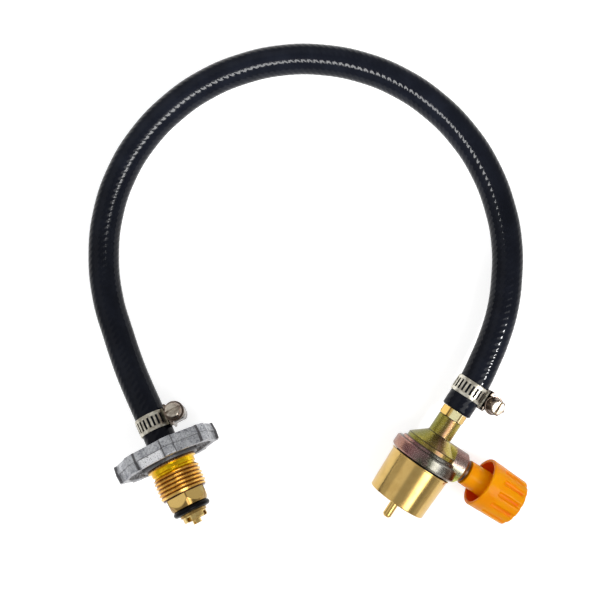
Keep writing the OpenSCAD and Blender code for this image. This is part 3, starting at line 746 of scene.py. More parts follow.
def divided(outline: Array, low: float, high: float, step: float) -> Array:
    """Adds points to an outline's long runs between two heights.

    Args:
        outline: rows of radius and height.
        low: lowest height of the stretch.
        high: highest height of the stretch.
        step: longest run left in the stretch.

    Returns:
        The outline with the added points.
    """
    result = [outline[0]]
    for a, b in zip(outline[:-1], outline[1:]):
        inside = low <= min(a[1], b[1]) + step and max(a[1], b[1]) - step <= high
        pieces = max(1, math.ceil(float(np.linalg.norm(b - a)) / step)) if inside else 1
        result.extend(a + (b - a) * k / pieces for k in range(1, pieces + 1))
    return np.array(result)


def held(outline: Array, inset: float = 0.2) -> Array:
    """Adds points near the ends of an outline's long runs, which stay straight when shaded.

    Args:
        outline: rows of radius and height.
        inset: distance of the added points from a run's ends.

    Returns:
        The outline with the added points.
    """
    result = [outline[0]]
    for a, b in zip(outline[:-1], outline[1:]):
        length = float(np.linalg.norm(b - a))
        if length > 5 * inset:
            result += [a + (b - a) * inset / length, b - (b - a) * inset / length]
        result.append(b)
    return np.array(result)


@contextmanager
def edited(mesh: Mesh) -> Iterator[bmesh.types.BMesh]:
    """Opens a mesh for editing, and writes it back at the end.

    Args:
        mesh: the mesh.

    Yields:
        The open mesh.
    """
    work = bmesh.new()
    work.from_mesh(mesh)
    yield work
    work.to_mesh(mesh)
    work.free()


def merge(mesh: Mesh) -> None:
    """Joins a mesh's doubled points and points its faces outwards.

    Args:
        mesh: the mesh.
    """
    with edited(mesh) as work:
        bmesh.ops.remove_doubles(work, verts=work.verts, dist=1e-5)
        bmesh.ops.recalc_face_normals(work, faces=work.faces)


def new_object(name: str, data: bpy.types.ID, material: Material | None = None) -> Object:
    """Adds an object to the scene, with one material if it is given.

    Args:
        name: its name.
        data: its mesh, curve, lamp or camera.
        material: its material.

    Returns:
        The object.
    """
    made = bpy.data.objects.new(name, data)
    bpy.context.scene.collection.objects.link(made)
    if material is not None:
        data.materials.clear()
        data.materials.append(material)
    return made


@dataclass(frozen=True)
class Role:
    """What a made piece stands for.

    Args:
        name: the piece's name.
        node: the CAD node that it replaces.
        slot: its material slot in the record; not used.
        body: the body that it moves with.
        sharp: edges bent by more than these degrees stay sharp.
    """

    name: str
    node: str
    slot: str
    body: str = "hose_assembly"
    sharp: float = 30.0

    def fit(self, mesh: Mesh, place: Place, material: Material) -> Object:
        """Finishes a mesh and puts it in the scene.

        Args:
            mesh: the mesh, in local millimetres.
            place: where it goes.
            material: what it is made of.

        Returns:
            The piece.
        """
        merge(mesh)
        mesh.transform(place.matrix())
        mesh.shade_smooth()
        mesh.set_sharp_from_angle(angle=math.radians(self.sharp))
        piece = new_object(self.name, mesh, material)
        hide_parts(self.node)
        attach(piece, self.body)
        return piece


def dress(node: str, material: Material) -> None:
    """Gives a CAD node its material, without touching its mesh.

    Args:
        node: the node's name.
        material: what it is made of.
    """
    piece = frame["nodes"][node]
    if not piece.material_slots:
        piece.data.materials.append(None)
    for slot in piece.material_slots:
        slot.link = "OBJECT"
        slot.material = material


def revolved(outline: Array, segments: int, rule: Rule | None = None, closed: bool = True) -> Mesh:
    """Turns an outline about the third axis.

    Args:
        outline: rows of radius and height.
        segments: steps round the axis.
        rule: changes the radius, given angle, radius and height, as arrays.
        closed: whether the outline is a loop; otherwise its ends lie on the axis.

    Returns:
        A closed mesh in local millimetres.
    """
    rows = len(outline)
    angles = np.linspace(0, TURN, segments, endpoint=False)[None, :]
    turn = np.repeat(angles, rows, 0)
    radius, height = (np.repeat(outline[:, i:i + 1], segments, 1) for i in (0, 1))
    if rule is not None:
        radius = rule(turn, radius, height)
    points = np.stack([radius * np.cos(turn), radius * np.sin(turn), height], -1)
    faces: list[tuple[int, ...]] = []
    for i in range(rows if closed else rows - 1):
        a, b = i * segments, (i + 1) % rows * segments
        for k in range(segments):
            m = (k + 1) % segments
            faces.append((a + k, a + m, b + m, b + k))
    mesh = bpy.data.meshes.new("turned")
    mesh.from_pydata(points.reshape(-1, 3).tolist(), [], faces)
    return mesh


def rod(*stretches: tuple[float, float, float]) -> list[tuple[float, float]]:
    """Returns the outline of a stepped round rod, from each stretch's radius and two ends."""
    sides = [(radius, z) for radius, *ends in stretches for z in ends]
    return [(0.0, sides[0][1]), *sides, (0.0, sides[-1][1])]


def drill(points: Sequence[tuple[float, float]], segments: int,
          place: Matrix | None = None) -> Mesh:
    """Returns a turned solid that cuts a bore, from an outline whose ends lie on the axis.

    Args:
        points: rows of radius and height.
        segments: steps round the axis.
        place: where it goes, if not on the third axis.

    Returns:
        The mesh.
    """
    mesh = revolved(np.array(points, float), segments, closed=False)
    mesh.transform(place or Matrix())
    return mesh


def hexagon(turn: Array, across: float, start: float = 0.0) -> Array:
    """Returns the radius of a hexagon at each angle.

    Args:
        turn: angles in radians.
        across: width across the flats.
        start: angle of a corner, in degrees.

    Returns:
        The radii.
    """
    local = (turn - math.radians(start)) % SIXTH - SIXTH / 2
    return across / 2 / np.cos(local)


def soft_min(a: Array, b: Array, blend: float) -> Array:
    """Returns the smaller of two arrays, rounded where they meet."""
    share = np.clip(0.5 + 0.5 * (b - a) / blend, 0, 1)
    return b + (a - b) * share - blend * share * (1 - share)


@dataclass(frozen=True)
class Flats:
    """The rule of a hexagon cut into a turned piece.

    Args:
        across: width across the flats.
        low: height above which it is cut.
        high: height below which it is cut.
        start: angle of a corner, in degrees.
        inside: radius beyond which it is cut.
        blend: width of the cut's rounded edges.
        chamfer: how far the corners are cut back at the low end.
    """

    across: float
    low: float = -math.inf
    high: float = math.inf
    start: float = 0.0
    inside: float = 0.0
    blend: float = 0.0
    chamfer: float = 0.0

    def __call__(self, turn: Array, radius: Array, height: Array) -> Array:
        """Returns the radius after the cut.

        Args:
            turn: angles in radians.
            radius: radii before the cut.
            height: heights.

        Returns:
            The radii after the cut.
        """
        flats = hexagon(turn, self.across, self.start)
        cut = soft_min(radius, flats, self.blend) if self.blend else np.minimum(radius, flats)
        if self.chamfer:
            cut = np.minimum(cut, self.across / math.sqrt(3) - self.chamfer + height - self.low)
        here = (height > self.low) & (height < self.high) & (radius > self.inside)
        return np.where(here, cut, radius)


def bar(outline: Sequence[tuple[float, float]], length: float, bevel: float = 0.0) -> Mesh:
    """Extrudes an outline along the third axis, centred.

    Args:
        outline: corners in the first two axes.
        length: length along the third axis.
        bevel: width of its edges' bevel.

    Returns:
        A closed mesh in local millimetres.
    """
    mesh = bpy.data.meshes.new("bar")
    with edited(mesh) as work:
        low, high = ([work.verts.new((x, y, z)) for x, y in outline]
                     for z in (-length / 2, length / 2))
        work.faces.new(low)
        work.faces.new(high)
        for i in range(len(outline)):
            j = (i + 1) % len(outline)
            work.faces.new((low[i], low[j], high[j], high[i]))
        bmesh.ops.recalc_face_normals(work, faces=work.faces)
        if bevel > 0:
            sharp = [e for e in work.edges if e.calc_face_angle(0.0) > math.radians(25)]
            bmesh.ops.bevel(work, geom=sharp, offset=bevel, segments=2, profile=0.5, affect="EDGES")
    return mesh


def evaluated(host: Object) -> Mesh:
    """Returns the plain mesh that an object's modifiers make."""
    graph = bpy.context.evaluated_depsgraph_get()
    return bpy.data.meshes.new_from_object(host.evaluated_get(graph), depsgraph=graph)


def combined(base: Mesh, *others: tuple[str, Mesh]) -> Mesh:
    """Adds meshes to a base, or cuts them from it.

    Args:
        base: the first mesh.
        others: pairs of "UNION" or "DIFFERENCE" and a mesh.

    Returns:
        The resulting mesh.
    """
    merge(base)
    host = new_object("host", base)
    tools = []
    for operation, mesh in others:
        merge(mesh)
        tools.append(new_object("tool", mesh))
        modifier = host.modifiers.new("tool", "BOOLEAN")
        modifier.operation = operation
        modifier.object = tools[-1]
        modifier.solver = "EXACT"
    result = evaluated(host)
    for item in (host, *tools):
        bpy.data.objects.remove(item)
    return result


# ---------------------------------------------------------------- geometry nodes


class Recipe:
    """A Geometry Nodes tree with named inputs, turned into a plain mesh."""

    def __init__(self, name: str, numbers: Sequence[str], counts: Sequence[str] = ()) -> None:
        """Starts a tree.

        Args:
            name: the tree's name.
            numbers: names of the inputs that are numbers.
            counts: names of the inputs that are whole numbers.
        """
        self.tree = bpy.data.node_groups.new(name, "GeometryNodeTree")
        self.graph = Graph(self.tree)
        kinds = {"Geometry": "Geometry", **dict.fromkeys(numbers, "Float"),
                 **dict.fromkeys(counts, "Int"), "Material": "Material"}
        face = self.tree.interface
        self.identifiers = {
            key: face.new_socket(key, in_out="INPUT", socket_type=f"NodeSocket{kind}").identifier
            for key, kind in kinds.items()
        }
        face.new_socket("Geometry", in_out="OUTPUT", socket_type="NodeSocketGeometry")
        self.inputs = self.graph.node("NodeGroupInput")

    def given(self, name: str) -> Value:
        """Returns one of the tree's inputs."""
        return Value(self.graph, self.inputs.outputs[name])

    def stored(self, geometry: Value, name: str, value: Value) -> Value:
        """Returns a geometry whose points have a value stored as a named attribute.

        Args:
            geometry: the geometry.
            name: the attribute's name.
            value: what it holds.

        Returns:
            The geometry with the attribute.
        """
        settings = {"data_type": "FLOAT", "domain": "POINT"}
        inputs = {"Geometry": geometry, "Name": name, "Value": value}
        return self.graph.value("GeometryNodeStoreNamedAttribute", settings, inputs)

    def close(self, geometry: Value) -> None:
        """Ends the tree in Realize Instances and Set Material.

        Args:
            geometry: the finished geometry.
        """
        real = self.graph.value("GeometryNodeRealizeInstances", None, {0: geometry})
        inputs = {"Geometry": real, "Material": self.given("Material")}
        dressed = self.graph.value("GeometryNodeSetMaterial", None, inputs)
        self.graph.node("NodeGroupOutput", None, {0: dressed})

    def run(self, source: Mesh | bpy.types.Curve, values: dict[str, Any]) -> Mesh:
        """Runs the tree.

        Args:
            source: the mesh or curve that it starts from.
            values: the inputs' values, by name.

        Returns:
            The plain mesh.
        """
        host = new_object("host", source)
        modifier = host.modifiers.new("recipe", "NODES")
        modifier.node_group = self.tree
        for key, value in values.items():
            modifier[self.identifiers[key]] = value
        mesh = evaluated(host)
        bpy.data.objects.remove(host)
        return mesh


def braided_tube() -> Recipe:
    """Makes the tree of a tube with a braid's relief, from a curve in millimetres.

    Returns:
        The recipe.
    """
    recipe = Recipe("braided_tube", ("Radius", "Spacing", "Strands", "Lay", "Relief", "Edge"),
                    ("Sides",))
    value, given, stored = recipe.graph.value, recipe.given, recipe.stored
    path = value("GeometryNodeResampleCurve", {"mode": "LENGTH"}, {
        "Curve": given("Geometry"), "Length": given("Spacing")})
    along, share = (value("GeometryNodeSplineParameter", key=key) for key in ("Length", "Factor"))
    nearest = along.least(along / share.most(1e-6) - along).most(0.0)
    turn_in = 1.0 - (nearest / given("Edge")).clamped()
    inset = given("Edge") * (1.0 - (1.0 - turn_in * turn_in).root())
    sized = value("GeometryNodeSetCurveRadius", None, {
        "Curve": stored(path, "along", along),
        "Radius": (given("Radius") - inset) / given("Radius")})
    ring = value("GeometryNodeCurvePrimitiveCircle", {"mode": "RADIUS"}, {
        "Resolution": given("Sides"), "Radius": given("Radius")})
    around = value("GeometryNodeSplineParameter", key="Factor")
    ring = stored(ring, "around", around)
    ring = stored(ring, "side_x", (TURN * around).cosine())
    ring = stored(ring, "side_y", (TURN * around).sine())
    tube = value("GeometryNodeCurveToMesh", None, {
        "Curve": sized, "Profile Curve": ring, "Fill Caps": True,
        "Scale": value("GeometryNodeInputRadius")})
    s, u = (value("GeometryNodeInputNamedAttribute", {"data_type": "FLOAT"}, {"Name": name})
            for name in ("along", "around"))
    ahead = (TURN * (given("Strands") * u + s / given("Lay"))).cosine()
    astern = (TURN * (given("Strands") * u - s / given("Lay"))).cosine()
    push = value("ShaderNodeVectorMath", {"operation": "SCALE"}, {
        0: value("GeometryNodeInputNormal"), "Scale": given("Relief") * ahead.most(astern)})
    recipe.close(value("GeometryNodeSetPosition", None, {"Geometry": tube, "Offset": push}))
    return recipe


def thread_cutter() -> Recipe:
    """Makes the tree that cuts a screw thread into a turned mesh about its third axis.

    Returns:
        The recipe.
    """
    recipe = Recipe("thread_cutter", ("Crest", "Depth", "Pitch", "Hand", "Low", "High"))
    graph, given = recipe.graph, recipe.given
    x, y, z = graph.split(graph.value("GeometryNodeInputPosition"))
    radius = graph.far(x, y)
    phase = TURN * (z / given("Pitch")) - given("Hand") * y.turn_from(x)
    above, below = z - given("Low"), given("High") - z
    fade = (above / 0.5).clamped() * (below / 0.5).clamped()
    target = given("Crest") - given("Depth") * (0.5 - 0.5 * phase.cosine()) * fade
    here = above.above(0.0) * below.above(0.0) * radius.above(given("Crest") - given("Depth"))
    share = 1.0 + (radius.least(target) / radius.most(0.01) - 1.0) * here
    recipe.close(graph.value("GeometryNodeSetPosition", None, {
        "Geometry": given("Geometry"), "Position": graph.join(x * share, y * share, z)}))
    return recipe


def ring_of_links() -> Recipe:
    """Makes the tree that sets copies of one link round the third axis and joins them.

    Returns:
        The recipe.
    """
    recipe = Recipe("ring_of_links", ("Start", "Step"), ("Count",))
    value, given = recipe.graph.value, recipe.given
    number = value("GeometryNodeInputIndex")
    copies = value("GeometryNodeInstanceOnPoints", None, {
        "Points": value("GeometryNodePoints", None, {"Count": given("Count")}),
        "Instance": given("Geometry"),
        "Rotation": recipe.graph.join(0.0, 0.0, given("Start") + number * given("Step"))})
    real = value("GeometryNodeRealizeInstances", None, {0: copies})
    recipe.close(value("GeometryNodeMergeByDistance", None, {"Geometry": real, "Distance": 0.01}))
    return recipe


# ---------------------------------------------------------------- hose


@dataclass
class GasHose:
    """The braided hose from the valve to the cylinder connector."""

    diameter: float = 14.5
    strands: float = 24.0
    lay: float = 2.9
    relief: float = 0.014
    edge: float = 0.7
    spacing: float = 0.6
    sides: int = 120
    route: tuple[tuple[float, float, float], ...] = (
        (37.6, 45.9, 16.5), (37.6, 53.8, 16.5), (37.6, 61.8, 16.5), (36.2, 72.8, 16.1),
        (34, 84.8, 15.5), (30, 98.3, 14.7), (24.2, 110.8, 13.8), (14.6, 126, 12.5),
        (3, 138.4, 11.1), (-13, 150.2, 9.8), (-31, 158.4, 8.6), (-50.2, 162.7, 7.7),
        (-69.7, 163, 7.3), (-88.8, 159.2, 7.3), (-106.8, 151.7, 7.3), (-123, 140.9, 7.3),
        (-136.7, 127, 7.3), (-147.6, 110.7, 7.3), (-155, 92.2, 7.3), (-158.6, 72.5, 7.3),
        (-157.9, 52.3, 7.3), (-152.7, 32.6, 7.4), (-143.2, 14.5, 7.8), (-130.1, -1.3, 8.7),
        (-115.6, -13, 10.9), (-101.6, -22.9, 14.2), (-93.3, -27.85, 16.75),
        (-84.9, -32.65, 18.95), (-76.4, -37.45, 21.15), (-68.4, -41.95, 23.35),
    )

    def curve(self) -> bpy.types.Curve:
        """Returns the route as one smooth spline, in millimetres."""
        data = bpy.data.curves.new("hose_route", "CURVE")
        data.dimensions = "3D"
        spline = data.splines.new("BEZIER")
        spline.bezier_points.add(len(self.route) - 1)
        spline.resolution_u = 24
        for knot, point in zip(spline.bezier_points, self.route):
            knot.co = point
            knot.handle_left_type = knot.handle_right_type = "AUTO"
        return data

    def build(self) -> list[Object]:
        """Returns:
            The hose, alone in a list.
        """
        material = BraidedRubber().material()
        mesh = braided_tube().run(self.curve(), {
            "Radius": self.diameter / 2 - self.relief, "Spacing": self.spacing,
            "Sides": self.sides, "Strands": self.strands, "Lay": self.lay,
            "Relief": self.relief, "Edge": self.edge, "Material": material,
        })
        row = Place(Vector(), *(Vector(axis) for axis in Matrix.Identity(3)))
        hose = Role("gas_hose", "hose", "hose_rubber", sharp=50.0).fit(mesh, row, material)
        path = [tuple(c * MM for c in point) for point in self.route]
        steps = np.diff(np.array(self.route), axis=0)
        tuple(path[0])
        return [hose]


# ---------------------------------------------------------------- hose clamps


class Side(enum.Enum):
    """The two hose clamps."""

    LEFT = "left"
    RIGHT = "right"


@dataclass
class HoseClamp:
    """A worm-drive clamp: slotted band, housing and screw. Its housing stands over local +X."""

    side: Side
    place: Place
    hose_d: float = 14.5
    band_w: float = 8.0
    band_t: float = 0.6
    seat: float = 0.05
    slot_w: float = 1.0
    slot_l: float = 4.8
    slot_step: float = 15.5
    slot_start: float = 48.0
    slot_count: int = 18
    pressed: float = 0.12
    lap: tuple[float, float] = (-42.0, 34.0)
    worm_d: float = 6.0
    worm_pitch: float = 2.0
    worm_depth: float = 0.8
    housing_l: float = 11.5
    housing_w: float = 10.5
    wall: float = 0.9
    fold: float = 0.22
    drill_reach: float = 20.0
    head_af: float = 7.0
    head_h: float = 4.4
    washer_d: float = 9.4
    washer_t: float = 0.8
    driver_w: float = 1.2
    slot_turn: float = 0.0

    def role(self, name: str, node: str, slot: str, **others: Any) -> Role:
        """Returns what one of the clamp's pieces stands for."""
        side = self.side.value
        return Role(f"{side}_clamp_{name}", f"{side}_clamp_{node}", slot, **others)

    def bed(self) -> float:
        """Returns the distance from the hose's axis to the worm's underside."""
        return self.hose_d / 2 + 2 * self.seat + 2 * self.band_t + 0.05

    def worm_place(self) -> Place:
        """Returns the worm's frame, with its axis along +Z."""
        return self.place.moved(x=self.bed() + self.worm_d / 2).tangent()

    def link(self) -> Mesh:
        """Returns one link of the band, a frame round one slot, with pressed edges."""
        inner, edge = self.hose_d / 2 + self.seat, self.band_w / 2
        half, slot = math.radians(self.slot_step / 2), self.slot_w / 2 / inner
        near = 0.72 * half + 0.28 * slot
        turns = (-half, -near, -slot, slot, near, half)
        rows = (-edge, -edge + 0.35, -self.slot_l / 2, self.slot_l / 2, edge - 0.35, edge)
        mesh = bpy.data.meshes.new("band_link")
        with edited(mesh) as work:
            grid = {}
            for (i, z), (j, turn), k in product(enumerate(rows), enumerate(turns), (0, 1)):
                radius = inner + k * (self.band_t - (self.pressed if i in (0, 5) else 0.0))
                spot = (radius * math.cos(turn), radius * math.sin(turn), z)
                grid[i, j, k] = work.verts.new(spot)
            for i, j, k in product(range(5), range(5), (0, 1)):
                if (i, j) != (2, 2):
                    square = ((i, j), (i + 1, j), (i + 1, j + 1), (i, j + 1))
                    work.faces.new([grid[a, b, k] for a, b in square])
            walls = [((i, j), (i, j + 1)) for j in range(5) for i in (0, 5)]
            loop = ((2, 2), (2, 3), (3, 3), (3, 2))
            for a, b in (*walls, *zip(loop, (*loop[1:], loop[0]))):
                corners = ((*a, 0), (*b, 0), (*b, 1), (*a, 1))
                work.faces.new([grid[corner] for corner in corners])
        return mesh

    def strip(self, work: bmesh.types.BMesh, inner: float, start: float, end: float) -> None:
        """Adds a plain piece of band to a mesh.

        Args:
            work: the mesh.
            inner: the piece's inner radius.
            start: the angle of its start, in degrees.
            end: the angle of its end, in degrees.
        """
        outer, edge = inner + self.band_t, self.band_w / 2
        corners = ((inner, -edge), (outer, -edge), (outer, edge), (inner, edge))
        rings = []
        count = max(2, round((end - start) / 3))
        for turn in np.radians(np.linspace(start, end, count + 1)):
            x, y = math.cos(turn), math.sin(turn)
            rings.append([work.verts.new((r * x, r * y, z)) for r, z in corners])
        for (first, second), a in product(zip(rings[:-1], rings[1:]), range(4)):
            b = (a + 1) % 4
            work.faces.new((first[a], first[b], second[b], second[a]))
        work.faces.new(rings[0])
        work.faces.new(rings[-1])

    def band(self, material: Material) -> Object:
        """Builds the band: links round the hose, a plain lap and the tail in the housing.

        Args:
            material: what it is made of.

        Returns:
            The band.
        """
        mesh = ring_of_links().run(self.link(), {
            "Count": self.slot_count, "Start": math.radians(self.slot_start),
            "Step": math.radians(self.slot_step), "Material": material,
        })
        inner = self.hose_d / 2 + self.seat
        first = self.slot_start - self.slot_step / 2
        with edited(mesh) as work:
            self.strip(work, inner, first + self.slot_count * self.slot_step - 360, first)
            self.strip(work, inner + self.band_t + self.seat, *self.lap)
        return self.role("slotted_band", "band", "clamp_steel").fit(mesh, self.place, material)

    def housing(self, material: Material) -> Object:
        """Builds the stamped housing: a folded saddle over the worm, with feet on the band.

        Args:
            material: what it is made of.

        Returns:
            The housing.
        """
        bed, worm, foot = self.bed(), self.worm_d / 2, self.housing_w / 2
        middle, side = bed + worm, worm + 0.05 + self.wall
        top = middle + side
        half = [(bed - 0.9, foot), (bed + 0.1, foot), (bed + 0.6, side), (top - 1.7, side),
                (top - 0.5, side - 1.3), (top, side - 2.6)]
        shell = bar(half + [(x, -z) for x, z in reversed(half)], self.housing_l, self.fold)
        reach = self.drill_reach
        bore = drill(rod((worm + 0.05, -reach, reach)), 48, Matrix.Translation((middle, 0, 0)))
        gap = bar([(0, -worm), (middle, -worm), (middle, worm), (0, worm)], 2 * reach)
        hose = drill(rod((bed, -reach, reach)), 96, Matrix.Rotation(QUARTER, 4, "X"))
        mesh = combined(shell, *(("DIFFERENCE", cut) for cut in (bore, gap, hose)))
        role = self.role("saddle", "housing", "clamp_steel")
        return role.fit(mesh, self.place.tangent(), material)

    def screw(self, material: Material) -> Object:
        """Builds the worm with its slotted hexagonal head.

        Args:
            material: what it is made of.

        Returns:
            The screw.
        """
        base, worm = self.housing_l / 2 + 0.1, self.worm_d / 2
        seat = base + self.washer_t
        top, washer, corner = seat + self.head_h, self.washer_d / 2, self.head_af / math.sqrt(3)
        outline = rounded([
            (0, -base - 1.1), (worm - 0.6, -base - 1.1, 0.2), (worm, -base - 0.4, 0.1),
            (worm, base - 0.9), (worm - 0.7, base - 0.7), (worm - 0.7, base), (washer, base, 0.15),
            (washer, seat, 0.25), (corner, seat), (corner, top - 0.7), (corner - 1.1, top, 0.2),
            (0, top),
        ], closed=False)
        outline = divided(outline, -base - 0.4, base - 0.9, 0.16)
        turned = revolved(outline, 96, Flats(self.head_af, seat + 0.05), closed=False)
        mesh = thread_cutter().run(turned, {
            "Crest": worm, "Depth": self.worm_depth, "Pitch": self.worm_pitch, "Hand": 1.0,
            "Low": -base - 0.6, "High": base - 0.9, "Material": material,
        })
        wide, half = 9.0, self.driver_w / 2
        slot = bar([(-wide, -half), (wide, -half), (wide, half), (-wide, half)], 3.2)
        turn = Matrix.Rotation(math.radians(self.slot_turn), 4, "Z")
        slot.transform(Matrix.Translation((0, 0, top)) @ turn)
        role = self.role("worm_screw", "screw", "screw_steel", body=f"{self.side.value}_worm",
                         sharp=34.0)
        return role.fit(combined(mesh, ("DIFFERENCE", slot)), self.worm_place(), material)

    def build(self) -> list[Object]:
        """Builds the clamp's three pieces.

        Returns:
            The band, the housing and the screw.
        """
        # The saddle is the band's strip steel darkened by painted shade.
        saddle = StripSteel("shaded_clamp_saddle_steel", (0.30, 0.25, 0.205), (0.035, 0.026, 0.020),
                            0.22, 0.34)
        return [self.band(StripSteel().material(self.place)),
                self.housing(saddle.material(self.place)),
                self.screw(Brass.WORM.value.material(self.worm_place()))]


# ---------------------------------------------------------------- cylinder connector


@dataclass
class HandWheel:
    """The die-cast wheel: grip blocks, flats with a parting line, and a web dished both ways."""

    place: Place
    turn: float = -16.5
    hex_turn: float = 10.0
    blocks: int = 8
    block_angle: float = 12.0
    diameter: float = 49.6
    flats: float = 45.8
    thickness: float = 8.0
    draft: float = 5.0
    rim: float = 2.6
    hub_d: float = 27.0
    hub_top: float = 4.65
    nut_af: float = 19.1
    web: float = 3.0
    step: float = 0.45

    def outside(self, turn: Array, height: Array) -> Array:
        """Returns the rim's outer radius.

        Args:
            turn: angles in radians, from a block's middle.
            height: heights in millimetres, positive towards the nose.

        Returns:
            The radii.
        """
        pitch = TURN / self.blocks
        aside = np.abs((turn + pitch / 2) % pitch - pitch / 2)
        lean = np.abs(height) * math.tan(math.radians(self.draft))
        recess = self.step * (0.5 + 0.5 * np.tanh((height - 0.1) / 0.12))
        flat = (self.flats / 2 - lean - recess) / np.cos(pitch / 2 - aside)
        block = self.diameter / 2 - lean
        edge = np.clip((aside - math.radians(self.block_angle) / 2) / 0.022, 0, 1)
        return block + (flat - block) * edge * edge * (3 - 2 * edge)

    def build(self) -> list[Object]:
        """Builds the wheel.

        Returns:
            The wheel, alone in a list.
        """
        half, web, hub, far = self.thickness / 2, self.web / 2, self.hub_d / 2, self.diameter / 2
        dish, bore = self.flats / 2 - self.rim, self.nut_af / math.sqrt(3)
        outline = rounded([
            (bore, -half, 0.3), (hub - 0.4, -half, 0.5), (hub, -web - 0.8, 0.8),
            (hub + 1.2, -web, 0.6), (dish - 1.6, -web, 0.8), (dish - 0.5, -web - 0.8, 0.6),
            (dish, -half, 0.5), (far, -half, 0.5), (far, 0), (far, half, 0.5), (dish, half, 0.5),
            (dish - 0.5, web + 0.8, 0.6), (dish - 1.6, web, 0.8), (hub + 1.2, web, 0.6),
            (hub, web + 0.8, 0.8), (hub - 0.4, self.hub_top, 0.4), (bore, self.hub_top, 0.3),
        ])
        outline = divided(np.vstack([outline, outline[:1]]), -half, half, 0.35)[:-1]

        def shape(turn: Array, radius: Array, height: Array) -> Array:
            """Sets the rim's outside and the hexagonal bore.

            Args:
                turn: angles in radians.
                radius: radii of the outline.
                height: heights.

            Returns:
                The radii.
            """
            share = np.clip((radius - dish) / (far - dish), 0, 1)
            rim = dish + (self.outside(turn, height) - dish) * share
            radius = np.where(radius > dish + 0.05, rim, radius)
            flats = hexagon(turn, self.nut_af, self.hex_turn - self.turn)
            return np.where(radius <= bore + 1e-6, flats, radius)

        place = self.place.rolled(self.turn)
        role = Role("cast_hand_wheel", "handwheel", "zinc_casting", "pol_union")
        return [role.fit(revolved(outline, 576, shape), place, DieCast().material(place))]


def barbs(start: float, way: int) -> list[tuple[float, float]]:
    """Returns the outline of a hose tail's four barbs, along +Z or -Z from the first one."""
    tooth = ((TAIL_R, 0.0), (BARB_R, 0.0), (TAIL_R, 3.6))
    return [(radius, start + way * (4 * n + z)) for n in range(4) for radius, z in tooth]


